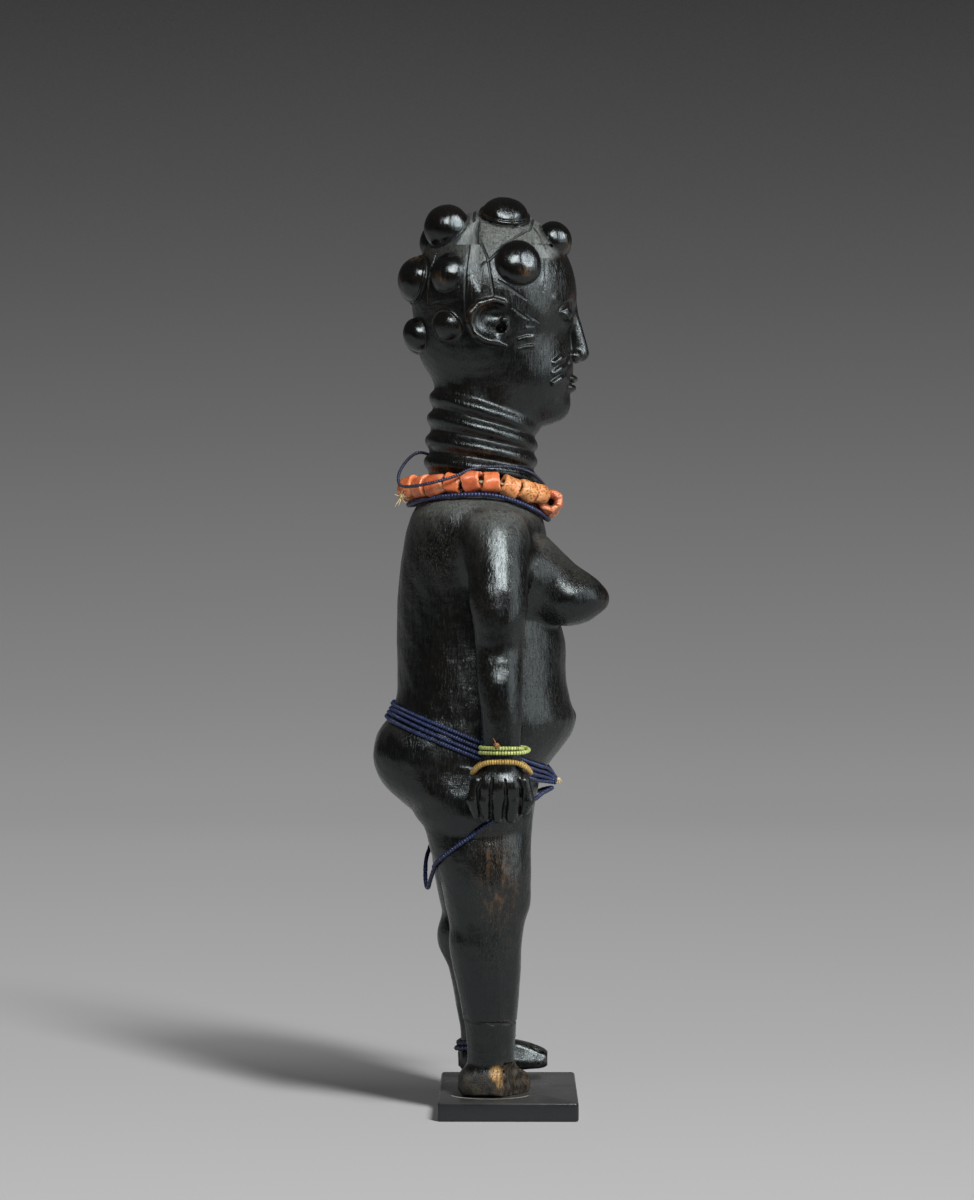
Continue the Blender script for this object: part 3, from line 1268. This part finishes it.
def coral_bead(name, centre, direction, age, skew):
    """A short drilled tube, faceted and dented by wear, with slanting ends and a few flakes knocked off."""
    move, lean, size = skew
    centre = centre + move
    direction = direction + lean + rng.uniform(-0.09, 0.09, 3)
    direction /= np.linalg.norm(direction)
    u, v = across_of(direction)
    radius = CORAL_RADIUS * size * rng.uniform(0.9, 1.0)
    half = coral_half * rng.uniform(0.93, 1.04)
    bore = CORAL_BORE * rng.uniform(0.9, 1.3)
    phases = rng.uniform(0, 2 * np.pi, 6)
    slant = rng.uniform(-0.16, 0.16, (2, 2))
    taper = rng.uniform(-0.08, 0.08)
    off_centre = rng.uniform(-0.4, 0.4, 2)
    flakes = [(rng.uniform(0, 2 * np.pi), rng.choice([-1, 1]) * rng.uniform(0.6, 1), rng.uniform(0.1, 0.24))
              for _ in range(5)]
    turn = 2 * np.pi * np.arange(CORAL_AROUND) / CORAL_AROUND
    facets = np.abs(np.cos(1.5 * turn + phases[5]))
    lump = 1 + 0.04 * np.sin(2 * turn + phases[0]) + 0.03 * np.sin(3 * turn + phases[1]) - 0.05 * facets ** 6
    points = []
    chips = []
    for out, along in CORAL_WALL + CORAL_HOLE:
        end = slant[0] if along < 0 else slant[1]
        tilt = end[0] * np.cos(turn) + end[1] * np.sin(turn)
        ragged = 0.03 * np.sin(7 * turn + phases[3]) + 0.025 * np.sin(13 * turn + phases[4])
        h = half * (along + abs(along) ** 3 * (tilt + ragged))
        chip = np.zeros(CORAL_AROUND)
        if len(points) < len(CORAL_WALL):
            for where, level, depth in flakes:
                away = np.angle(np.exp(1j * (turn - where))) * 1.6
                chip = np.maximum(chip, depth * np.exp(-(away ** 2 + ((along - level) * 1.8) ** 2) * 2.2))
            wavy = 1 + taper * along + 0.025 * np.sin(3 * along + 2 * turn + phases[2])
            r = out * radius * lump * wavy * (1 - chip)
            shift = np.zeros(2)
        else:
            r = np.full(CORAL_AROUND, out * bore)
            shift = off_centre
        chips.append(chip)
        ring = centre + np.outer(h, direction)
        ring = ring + np.outer(r * np.cos(turn) + shift[0], u) + np.outer(r * np.sin(turn) + shift[1], v)
        points.append(ring)
    faces = []
    rings = len(points)
    for ring in range(rings):
        for n in range(CORAL_AROUND):
            a = ring * CORAL_AROUND + n
            b = ring * CORAL_AROUND + (n + 1) % CORAL_AROUND
            step = CORAL_AROUND if ring < rings - 1 else -CORAL_AROUND * (rings - 1)
            faces.append((a, b, b + step, a + step))
    piece = new_piece(name, np.concatenate(points), faces)
    count = len(piece.data.vertices)
    levels = np.repeat([abs(along) for _, along in CORAL_WALL + CORAL_HOLE], CORAL_AROUND)
    outs = np.repeat([out for out, _ in CORAL_WALL] + [0] * len(CORAL_HOLE), CORAL_AROUND)
    store(piece, "age", np.full(count, age))
    store(piece, "tone", np.full(count, rng.uniform(0, 1)))
    store(piece, "chip", np.clip(np.concatenate(chips) * 6, 0, 1))
    store(piece, "drilled", (outs == 0) * 1.0)
    store(piece, "rim", smooth_step(0.75, 0.95, levels) * smooth_step(0.8, 0.94, outs))
    return piece


coral, tree, shader = new_material("coral", IOR=1.52, Subsurface_Weight=0.12, Subsurface_Scale=0.0006)
place = in_millimetres(tree)
cloud = noise(tree, place, 0.35, 4, 0.6)
pit = noise(tree, place, 1.5, 3, 0.65)
fine = noise(tree, place, 4.0, 2, 0.5)
tone = kept(tree, "tone")
fresh = mixed(tree, tone, (0.32, 0.044, 0.014), (0.68, 0.155, 0.048))
streaked = mixed(tree, ranged(tree, cloud, 0.4, 0.72, 0, 0.75), fresh, (0.74, 0.22, 0.085))
old = mixed(tree, ranged(tree, cloud, 0.3, 0.7), (0.54, 0.17, 0.046), (0.68, 0.35, 0.13))
colour = mixed(tree, kept(tree, "age"), streaked, old)
holes = times(tree, ranged(tree, pit, 0.58, 0.64), kept(tree, "age"), clamp=True)
colour = mixed(tree, times(tree, holes, 0.85), colour, (0.11, 0.03, 0.01))
dirty = times(tree, ranged(tree, fine, 0.52, 0.7, 0, 0.5), ranged(tree, cloud, 0.35, 0.5, 1, 0))
colour = mixed(tree, dirty, colour, (0.16, 0.035, 0.015))
worn_edge = maths(tree, "MAXIMUM", kept(tree, "rim"), kept(tree, "chip"))
worn_edge = times(tree, worn_edge, ranged(tree, fine, 0.3, 0.55, 0.15, 0.8))
colour = mixed(tree, worn_edge, colour, (0.8, 0.38, 0.19))
colour = mixed(tree, times(tree, kept(tree, "drilled"), 0.95), colour, (0.07, 0.013, 0.006))
height = less(tree, times(tree, fine, 0.2), times(tree, holes, 2.0))
height = plus(tree, height, cloud)
surfaced(tree, shader, colour, ranged(tree, cloud, 0.3, 0.7, 0.16, 0.36), height, 0.0002)

UPRIGHT = ((0, 0, 0), (0, 0, 0), 1.0)
for n in range(CORAL_COUNT):
    bead = coral_bead(f"coral_tube_{n + 1:02d}", coral_places[n], coral_directions[n], OLD_BEADS.get(n, 0.0),
                      ASKEW.get(n, UPRIGHT))
    bead.data.materials.append(coral)
    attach(bead, "root")
    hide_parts(f"coral_bead_{n + 1:02d}")


def tube_along(points, radii, sides, closed=False):
    """A round tube along a row of points, as points and faces. Open ends are drawn to a point."""
    points = np.asarray(points, float)
    radii = np.broadcast_to(radii, len(points))
    ahead = np.roll(points, -1, 0) - np.roll(points, 1, 0)
    if not closed:
        ahead[0] = points[1] - points[0]
        ahead[-1] = points[-1] - points[-2]
    ahead /= np.maximum(np.linalg.norm(ahead, axis=1), 1e-9)[:, None]
    u = across_of(ahead[0])[0]
    turn = 2 * np.pi * np.arange(sides) / sides
    rings = []
    frames = []
    for p, t, r in zip(points, ahead, radii):
        u = u - (u @ t) * t
        u /= np.linalg.norm(u)
        v = np.cross(t, u)
        frames.append((u, v))
        rings.append(p + r * (np.outer(np.cos(turn), u) + np.outer(np.sin(turn), v)))
    faces = []
    last = len(points) if closed else len(points) - 1
    for ring in range(last):
        for n in range(sides):
            a = ring * sides + n
            b = ring * sides + (n + 1) % sides
            c = ((ring + 1) % len(points)) * sides + (n + 1) % sides
            d = ((ring + 1) % len(points)) * sides + n
            faces.append((a, b, c, d))
    return np.concatenate(rings), faces


def joined(parts):
    """Several meshes, each points and faces, as one."""
    points = []
    faces = []
    start = 0
    for part_points, part_faces in parts:
        points.append(part_points)
        faces += [tuple(start + i for i in face) for face in part_faces]
        start += len(part_points)
    return np.concatenate(points), faces


def twisted(points, directions, radius, pitch, length):
    """Two plies laid round each other along a closed route."""
    count = len(points)
    turns = round(length / pitch)
    plies = []
    for start in (0, math.pi):
        centre = []
        for n in range(count):
            u, v = across_of(directions[n])
            angle = start + 2 * math.pi * turns * n / count
            centre.append(points[n] + 0.5 * radius * (math.cos(angle) * u + math.sin(angle) * v))
        plies.append(tube_along(centre, 0.56 * radius, 6, closed=True))
    return joined(plies)


thread, tree, shader = new_material("pale_thread", Roughness=0.85, Sheen_Weight=0.3)
place = in_millimetres(tree)
lint = noise(tree, place, 3.0, 4, 0.7)
soil = noise(tree, place, 0.5, 2, 0.5)
colour = mixed(tree, ranged(tree, lint, 0.3, 0.7), (0.42, 0.29, 0.11), (0.78, 0.64, 0.34))
colour = mixed(tree, ranged(tree, soil, 0.5, 0.75, 0, 0.5), colour, (0.22, 0.14, 0.06))
surfaced(tree, shader, colour, relief=lint, depth=0.00008)

cord_places, cord_directions, cord_length = closed_curve(collar, count=400)
cord = new_piece("necklace_cord", *twisted(cord_places, cord_directions, 0.45, 2.2, cord_length))
cord.data.materials.append(thread)
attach(cord, "root")
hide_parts("necklace_thread")


def thread_knot(name, centre, radius, tails, material):
    """A hard little knot wound from thread, with frayed ends. Each tail is a direction with a length."""
    centre = np.array(centre, float)
    turn = np.linspace(0, 2 * np.pi, 60, endpoint=False)
    wound = np.stack([np.sin(turn) + 1.6 * np.sin(2 * turn), np.cos(turn) - 1.6 * np.cos(2 * turn),
                      -1.3 * np.sin(3 * turn)], 1) * radius * 0.3
    second = wound[:, [2, 0, 1]] * 0.95
    parts = [tube_along(centre + wound, radius * 0.34, 8, closed=True),
             tube_along(centre + second, radius * 0.32, 8, closed=True)]
    for direction, length in tails:
        direction = np.array(direction, float)
        direction /= np.linalg.norm(direction)
        u, v = across_of(direction)
        bow = rng.uniform(-0.25, 0.25, 2) * length
        t = np.linspace(0, 1, 9)
        path = centre + np.outer(t * length, direction) + np.outer(t ** 2, bow[0] * u + bow[1] * v)
        parts.append(tube_along(path, 0.17 * (1 - 0.75 * t ** 3), 5))
    knot = new_piece(name, *joined(parts))
    knot.data.materials.append(material)
    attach(knot, "root")
    return knot


NECKLACE_TAILS = [
    ((-0.4, -1, 0.9), 3.4),
    ((0.6, -1, 0.5), 3.6),
    ((0.9, -0.8, 0.1), 3.2),
    ((0.3, -1, -0.8), 3.6),
    ((-0.5, -0.9, -0.9), 4.2),
    ((-0.9, -0.8, 0.2), 3.2),
    ((0.1, -1, 1.3), 3.0),
    ((-0.2, -1, -1.4), 3.4),
    ((0.8, -1, 0.9), 2.8),
]
knot = thread_knot("necklace_tie", (-32.6, -12.6, 188.2), 1.0, NECKLACE_TAILS, thread)
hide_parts("necklace_knot")

# Neck strands
# Two strings of small glass beads lie with the coral. The dark upper one rides over the tubes and springs
# out in a loop at the nape; the blue lower one lies on the shoulders below them.
UPPER_ROUTE = [
    (-32.4, -14.2, 191.4), (-26.2, -22.4, 191.4), (-17, -24.3, 193.6), (-11.5, -21.6, 196.1),
    (-5, -19.2, 197.1), (1.8, -16.2, 197), (7, -11.4, 195.6), (10.4, -5, 193), (11, 2, 192),
    (8.4, 9.6, 194.2), (2.4, 15.8, 196.6), (-5, 18.8, 197.4), (-13, 18.4, 198.2), (-21, 13.4, 200.4),
    (-26, 6, 202.4), (-29, 0, 201.8), (-32, -4.4, 198.6), (-33.6, -9.6, 194.6),
]
LOWER_ROUTE = {"depth": 21.8, "width": 24.2, "x": -9.4, "steps": 32, "start": 174}
UPPER_BEAD = 0.5
LOWER_BEAD = 0.72


def bead_string(name, route, radius, shape, materials, nodes, thread_radius=0.28):
    """A closed string of small drilled beads on a thread, each bead a little different from the next."""
    around = 10
    pitch = 2 * radius * shape
    places, directions, length = closed_curve(route, spacing=pitch)
    half = length / len(places) / 2
    turn = 2 * np.pi * np.arange(around) / around
    wall = [(0.45, -0.94), (0.84, -0.94), (1.0, -0.5), (1.0, 0.5), (0.84, 0.94), (0.45, 0.94)]
    parts = []
    tones = []
    gaps = []
    for centre, direction in zip(places, directions):
        direction = direction + rng.uniform(-0.07, 0.07, 3)
        direction /= np.linalg.norm(direction)
        u, v = across_of(direction)
        size = radius * rng.uniform(0.93, 1.04)
        tone = rng.uniform(0, 1)
        rings = []
        for out, along in wall:
            rings.append(centre + along * half * direction
                         + out * size * (np.outer(np.cos(turn), u) + np.outer(np.sin(turn), v)))
            gaps += [abs(along) > 0.9] * around
        faces = []
        for ring in range(len(wall) - 1):
            for n in range(around):
                a = ring * around + n
                b = ring * around + (n + 1) % around
                faces.append((a, b, b + around, a + around))
        parts.append((np.concatenate(rings), faces))
        tones += [tone] * (len(wall) * around)
    bead_faces = sum(len(faces) for _, faces in parts)
    core_places, _, _ = closed_curve(route, spacing=1.2)
    parts.append(tube_along(core_places, thread_radius, 6, closed=True))
    points, faces = joined(parts)
    piece = new_piece(name, points, faces)
    spare = len(points) - len(tones)
    store(piece, "tone", tones + [0.5] * spare)
    store(piece, "gap", gaps + [1] * spare)
    for material in materials:
        piece.data.materials.append(material)
    index = np.zeros(len(faces), np.int32)
    index[bead_faces:] = 1
    piece.data.polygons.foreach_set("material_index", index)
    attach(piece, "root")
    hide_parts(*nodes)


grime_group = bpy.data.node_groups.new("grime_between_beads", "ShaderNodeTree")
grime_group.interface.new_socket("Colour", in_out="INPUT", socket_type="NodeSocketColor")
grime_group.interface.new_socket("Amount", in_out="INPUT", socket_type="NodeSocketFloat")
grime_group.interface.new_socket("Colour", in_out="OUTPUT", socket_type="NodeSocketColor")
grime_group.interface.new_socket("Roughness", in_out="OUTPUT", socket_type="NodeSocketFloat")
group_in = grime_group.nodes.new("NodeGroupInput")
group_out = grime_group.nodes.new("NodeGroupOutput")
place = in_millimetres(grime_group)
film = noise(grime_group, place, 1.1, 3, 0.6)
in_gap = times(grime_group, kept(grime_group, "gap"), group_in.outputs["Amount"])
dirt = plus(grime_group, in_gap, ranged(grime_group, film, 0.5, 0.8, 0, 0.35), clamp=True)
soiled = mixed(grime_group, dirt, group_in.outputs["Colour"], (0.025, 0.023, 0.026))
grime_group.links.new(soiled, group_out.inputs["Colour"])
grime_group.links.new(ranged(grime_group, film, 0.3, 0.8, 0.2, 0.5), group_out.inputs["Roughness"])


def bead_glass(name, one, other, amount):
    """Opaque glass for small beads: each bead has its own tone, and grime fills the gaps."""
    material, tree, shader = new_material(name, IOR=1.5)
    colour = mixed(tree, kept(tree, "tone"), one, other)
    grime = wired(tree, "ShaderNodeGroup", node_tree=grime_group)
    tree.links.new(colour, grime.inputs["Colour"])
    grime.inputs["Amount"].default_value = amount
    surfaced(tree, shader, grime.outputs["Colour"], grime.outputs["Roughness"])
    return material


navy_glass = bead_glass("navy_glass", (0.014, 0.018, 0.04), (0.03, 0.038, 0.08), 0.4)
blue_glass = bead_glass("blue_glass", (0.006, 0.013, 0.056), (0.019, 0.036, 0.125), 0.7)
dark_thread, tree, shader = new_material("dark_thread", Roughness=0.8)
lint = noise(tree, in_millimetres(tree), 3.0, 3, 0.6)
colour = mixed(tree, lint, (0.02, 0.018, 0.02), (0.09, 0.08, 0.07))
surfaced(tree, shader, colour)

upper = pushed_out(closed_curve(UPPER_ROUTE, count=90)[0], FIGURE, UPPER_BEAD + REST_GAP)
bead_string("upper_neck_beads", upper, UPPER_BEAD, 0.8, (navy_glass, dark_thread),
            ["neck_strand_upper"], thread_radius=0.2)

crowd = closed_curve(collar, count=96)[0]
room = CORAL_RADIUS + LOWER_BEAD + REST_GAP
turns = 2 * np.pi * np.arange(LOWER_ROUTE["steps"]) / LOWER_ROUTE["steps"]
spread = np.ones(len(turns))


def draped(spread):
    """The blue strand where it comes to lie on the shoulders, for one spread at each step round."""
    starts = np.stack([
        LOWER_ROUTE["x"] + spread * LOWER_ROUTE["depth"] * np.cos(turns),
        spread * LOWER_ROUTE["width"] * np.sin(turns),
        np.full(len(turns), float(LOWER_ROUTE["start"])),
    ], 1)
    return reach_out(starts, (0, 0, 1), FIGURE, LOWER_BEAD + REST_GAP, 24)


lower = draped(spread)
for _ in range(20):
    gap = np.linalg.norm(lower[:, None] - crowd[None], axis=2).min(1)
    tight = (gap < room) & (spread < 1.3)
    if not tight.any():
        break
    spread = spread + 0.015 * tight
    lower = np.where(tight[:, None], draped(spread), lower)
apart = np.linalg.norm(lower[:, None] - crowd[None], axis=2)
nearest = crowd[apart.argmin(1)]
tucked = nearest + (lower - nearest) * (room / apart.min(1))[:, None]
lower = pushed_out(closed_curve(tucked, count=64)[0], FIGURE, LOWER_BEAD + REST_GAP)
bead_string("lower_neck_beads", lower, LOWER_BEAD, 0.72, (blue_glass, dark_thread),
            ["neck_strand_lower"])

# Waist strands
# Four strings of blue glass beads slope from the small of the back to a knot of pale thread under the belly.
# They lie close together behind and draw in to the knot in front.
WAIST_BEAD = 0.62
WAIST_PITCH = 1.66
GIRDLE = {"middle": -10, "back": 124.6, "back_at": -35, "front": 105.2, "front_at": 12, "steps": 44}
WAIST_KNOT = np.array((14.7, 0, 101))

fall = (GIRDLE["back"] - GIRDLE["front"]) / (GIRDLE["front_at"] - GIRDLE["back_at"])
for n in range(4):
    turns = 2 * np.pi * np.arange(GIRDLE["steps"]) / GIRDLE["steps"]
    height = GIRDLE["back"] + fall * (GIRDLE["back_at"] - GIRDLE["middle"]) - n * WAIST_PITCH
    starts = np.tile((GIRDLE["middle"], 0, height), (len(turns), 1))
    directions = np.stack([np.cos(turns), np.sin(turns), -fall * np.cos(turns)], 1)
    route = reach_out(starts, directions, BODY, WAIST_BEAD + REST_GAP, 45)
    slack = np.sin(3 * turns + 1.7 * n) * 0.2
    route[:, 2] += slack * (1 - np.cos(turns)) * 0.5
    off = np.minimum(turns, 2 * np.pi - turns) / 0.42
    draw = np.maximum(1 - off, 0)[:, None] ** 1.4
    goal = WAIST_KNOT + (0.1, 0, 0.5 - 0.5 * n)
    route = pushed_out(route + draw * (goal - route), BODY, WAIST_BEAD + REST_GAP)
    bead_string(f"waist_beads_{n + 1}", route, WAIST_BEAD, 0.66, (blue_glass, dark_thread),
                [f"waist_strand_{n + 1}"])
tails = [((0.6, -0.6, -1), 2.2), ((0.9, -0.3, -0.2), 1.6), ((-0.2, -0.8, -0.9), 1.8)]
knot = thread_knot("waist_tie", WAIST_KNOT + (0.8, 0, 0), 0.85, tails, thread)
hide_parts("waist_knot")

# Hip strand
# One more blue string hangs slack from the waist knot: over both thighs, round behind the legs and up again,
# so that it drops in a long loop below the right hand.
HIP_BEAD = 0.68
HIP_ROUTE = [
    (13.6, -0.5, 98.4), (10.7, -9, 97.4), (7.5, -17, 95.6), (1, -25, 93), (-6.3, -27, 89.4),
    (-11.4, -26.6, 85.3), (-16, -25, 81.7), (-20, -22, 78.2), (-22.4, -16, 74.8), (-23.8, -9.5, 70.8),
    (-24.7, -3.4, 67.8), (-25.5, 1.6, 68.6), (-25.8, 6.5, 71.6), (-25.6, 12, 75.6), (-24.2, 17.5, 79),
    (-20.4, 22.5, 82.4), (-14, 26.6, 86.4), (-6, 28, 90.4), (2, 25.6, 93.8), (8.5, 17, 96),
    (11.6, 8.5, 97.6),
]
slack = pushed_out(closed_curve(HIP_ROUTE, count=72)[0], BODY, HIP_BEAD + REST_GAP)
bead_string("hip_beads", slack, HIP_BEAD, 0.68, (blue_glass, dark_thread), ["hip_strand"])

# Bracelets
# Two strings sit on the right wrist: lime green glass that goes round twice, tied with an orange-brown knot,
# and ochre glass below it that rides up over the back of the hand.
WRIST = {"x": -1.9, "y": -34.6, "reach": 11}
GREEN_BEAD = 0.62
GREEN_COIL = {"height": 111.85, "rows": 0.72, "over": 0.85}
YELLOW_BEAD = 0.82
YELLOW_TURN = {"height": 108.5, "fall": 3.4, "half": 8.6}

green_glass = bead_glass("green_glass", (0.23, 0.3, 0.065), (0.52, 0.59, 0.2), 0.5)
yellow_glass = bead_glass("yellow_glass", (0.37, 0.23, 0.058), (0.52, 0.35, 0.1), 0.5)
brown_thread, tree, shader = new_material("brown_thread", Roughness=0.7)
lint = noise(tree, in_millimetres(tree), 2.5, 3, 0.6)
colour = mixed(tree, lint, (0.17, 0.05, 0.015), (0.5, 0.23, 0.07))
surfaced(tree, shader, colour)

turns = 4 * np.pi * np.arange(60) / 60
row = np.tanh(4 * np.sin(turns / 2)) * GREEN_COIL["rows"]
over = GREEN_COIL["over"] * (1 + np.cos(turns / 2) ** 5)
lift = np.abs(np.cos(turns / 2)) ** 5 * over
starts = np.stack([np.full(60, WRIST["x"]), np.full(60, WRIST["y"]), GREEN_COIL["height"] + row], 1)
directions = np.stack([np.cos(turns), np.sin(turns), 0 * turns], 1)
coil = reach_out(starts, directions, arms, GREEN_BEAD + REST_GAP, WRIST["reach"]) + lift[:, None] * directions
bead_string("green_beads", coil, GREEN_BEAD, 0.7, (green_glass, brown_thread),
            ["green_bracelet"])

turns = 2 * np.pi * np.arange(40) / 40
across = np.sign(np.cos(turns)) * np.abs(np.cos(turns)) ** 0.8
height = YELLOW_TURN["height"] - YELLOW_TURN["fall"] * np.abs(np.cos(turns)) ** 3
loop = np.stack([WRIST["x"] + YELLOW_TURN["half"] * across, WRIST["y"] + 5.4 * np.sin(turns), height], 1)
loop = pushed_out(closed_curve(loop, count=60)[0], arms, YELLOW_BEAD + REST_GAP)
bead_string("yellow_beads", loop, YELLOW_BEAD, 0.45, (yellow_glass, brown_thread),
            ["yellow_bracelet"])
tails = [((-0.3, -0.3, 1), 2.6), ((0.8, -0.6, -0.1), 1.4)]
knot = thread_knot("bracelet_tie", (-3.4, -41.2, 113.6), 0.85, tails, brown_thread)
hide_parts("bracelet_knot")

# Anklet
# A dark string of glass beads goes twice round the left ankle.
ANKLE = {"x": -7, "y": 15, "tilt": 0.22, "reach": 20}
ANKLE_BEAD = 0.74
for n, height in enumerate((19.2, 17.6)):
    turns = 2 * np.pi * np.arange(24) / 24
    starts = np.tile((ANKLE["x"], ANKLE["y"], height), (24, 1))
    directions = np.stack([np.cos(turns), np.sin(turns), ANKLE["tilt"] * np.cos(turns)], 1)
    ring = reach_out(starts, directions, BODY, ANKLE_BEAD + REST_GAP, ANKLE["reach"])
    bead_string(f"ankle_beads_{n + 1}", ring, ANKLE_BEAD, 0.7, (navy_glass, dark_thread),
                [f"anklet_strand_{n + 1}"])

# The studio
# A pale sheet rises behind the figure, darker towards the top, and dark in front of the picture so that the
# wood doesn't mirror it. A strip light serves the sheet and the base alone, two soft boxes light the figure
# and its beads, and a small one only the head and the beads.
SHEET_BACK = 2.1
SHEET_CURVE = 0.9
SHEET_HALF = 4.0
SHEET_TOP = 2.6
SHEET_TONES = [
    (-0.7, 0.01), (-0.45, 0.08), (-0.24, 0.56), (-0.2, 0.6), (0.1, 0.54), (0.4, 0.5), (0.7, 0.473),
    (1.0, 0.461), (1.4, 0.418), (1.7, 0.343), (2.0, 0.284), (2.5, 0.194), (2.9, 0.133), (3.2, 0.096),
    (3.7, 0.045),
]

profile_line = [(-3.0, 0.0), (-1.5, 0.0), (0.0, 0.0), (SHEET_BACK - SHEET_CURVE, 0.0)]
for n in range(1, 17):
    turn = math.pi / 2 * n / 16
    back = SHEET_BACK - SHEET_CURVE + SHEET_CURVE * math.sin(turn)
    profile_line.append((back, SHEET_CURVE * (1 - math.cos(turn))))
profile_line.append((SHEET_BACK, SHEET_TOP))
sheet_points = [(x, y, z) for y, z in profile_line for x in (-SHEET_HALF, SHEET_HALF)]
sheet_faces = [(2 * n, 2 * n + 1, 2 * n + 3, 2 * n + 2) for n in range(len(profile_line) - 1)]
sheet = new_piece("studio_sheet", np.array(sheet_points) / MM, sheet_faces)
sheet_paper, tree, shader = new_material("studio_paper", Roughness=0.9, Specular_IOR_Level=0.15)
where = wired(tree, "ShaderNodeTexCoord").outputs["Object"]
split = wired(tree, "ShaderNodeSeparateXYZ", {0: where})
fine = noise(tree, where, 900.0, 2, 0.5)
away = plus(tree, split.outputs["Y"], times(tree, split.outputs["Z"], 2.0))
tone = ranged(tree, away, SHEET_TONES[0][0], SHEET_TONES[-1][0])
ramp = wired(tree, "ShaderNodeValToRGB", {"Fac": tone})
for n, (at, grey) in enumerate(SHEET_TONES):
    share = (at - SHEET_TONES[0][0]) / (SHEET_TONES[-1][0] - SHEET_TONES[0][0])
    stop = ramp.color_ramp.elements[min(n, 1)] if n < 2 else ramp.color_ramp.elements.new(share)
    stop.position = share
    stop.color = (grey, grey, grey, 1)
paper = mixed(tree, ranged(tree, fine, 0.3, 0.7, 0, 0.04), ramp.outputs["Color"], (0.4, 0.4, 0.4))
paper = mixed(tree, ranged(tree, split.outputs["X"], -0.16, 0.16, 0, 0.05), paper, (0, 0, 0))
glow = ranged(tree, away, 0.03, 0.19, 0.12, 0.6)
surfaced(tree, shader, mixed(tree, glow, paper, (0, 0, 0)))
tree.links.new(mixed(tree, glow, (0, 0, 0), paper), shader.inputs["Emission Color"])
shader.inputs["Emission Strength"].default_value = 0.77
sheet.data.materials.append(sheet_paper)


def soft_light(name, place, aim, width, height, watts, colour=(1, 1, 1)):
    lamp = bpy.data.lights.new(name, "AREA")
    lamp.shape = "RECTANGLE"
    lamp.size = width
    lamp.size_y = height
    lamp.energy = watts
    lamp.color = colour
    holder = bpy.data.objects.new(name, lamp)
    bpy.context.scene.collection.objects.link(holder)
    holder.location = place
    holder.rotation_mode = "QUATERNION"
    direction = np.array(aim) - np.array(place)
    holder.rotation_quaternion = Vector(direction.tolist()).to_track_quat("-Z", "Y")
    return holder


figure_only = bpy.data.collections.new("figure_and_beads")
for surface in (sheet, base):
    figure_only.objects.link(surface)
head_only = bpy.data.collections.new("head_and_beads")
for surface in (sheet, base, carvings[1][0]):
    head_only.objects.link(surface)
for group in (figure_only, head_only):
    for entry in group.collection_objects:
        entry.light_linking.link_state = "EXCLUDE"
sheet_only = bpy.data.collections.new("sheet_and_base")
for surface in (sheet, base):
    sheet_only.objects.link(surface)
MIDDLE = (0, 0, 0.15)
front_box = soft_light("front_box", (0.156, -1.108, 0.905), MIDDLE, 0.8, 0.5, 19.5, (1.0, 0.99, 0.975))
side_box = soft_light("side_box", (0.95, -0.62, 0.82), (0, 0, 0.24), 0.4, 0.45, 7, (0.96, 0.98, 1.0))
fill_box = soft_light("fill_box", (1.15, -0.6, 0.45), MIDDLE, 1.0, 1.0, 6, (0.96, 0.98, 1.0))
strip = soft_light("shadow_strip", (1.2, -1.67, 2.55), MIDDLE, 0.36, 1.4, 113)
front_box.light_linking.receiver_collection = figure_only
side_box.light_linking.receiver_collection = head_only
fill_box.light_linking.receiver_collection = figure_only
strip.light_linking.receiver_collection = sheet_only

world = bpy.data.worlds.new("studio_air")
bpy.context.scene.world = world
world.use_nodes = True
set_to(world.node_tree.nodes["Background"].inputs["Color"], (0.045, 0.045, 0.047))

camera = bpy.data.objects.new("camera", bpy.data.cameras.new("camera"))
bpy.context.scene.collection.objects.link(camera)
camera.data.sensor_width = 36
camera.data.lens = 89.82
camera.data.clip_start = 0.01
camera.location = (0, -0.928, 0.1566)
camera.rotation_euler = (math.radians(90), 0, math.radians(0.402))
bpy.context.scene.camera = camera
bpy.context.scene.view_settings.view_transform = "Standard"
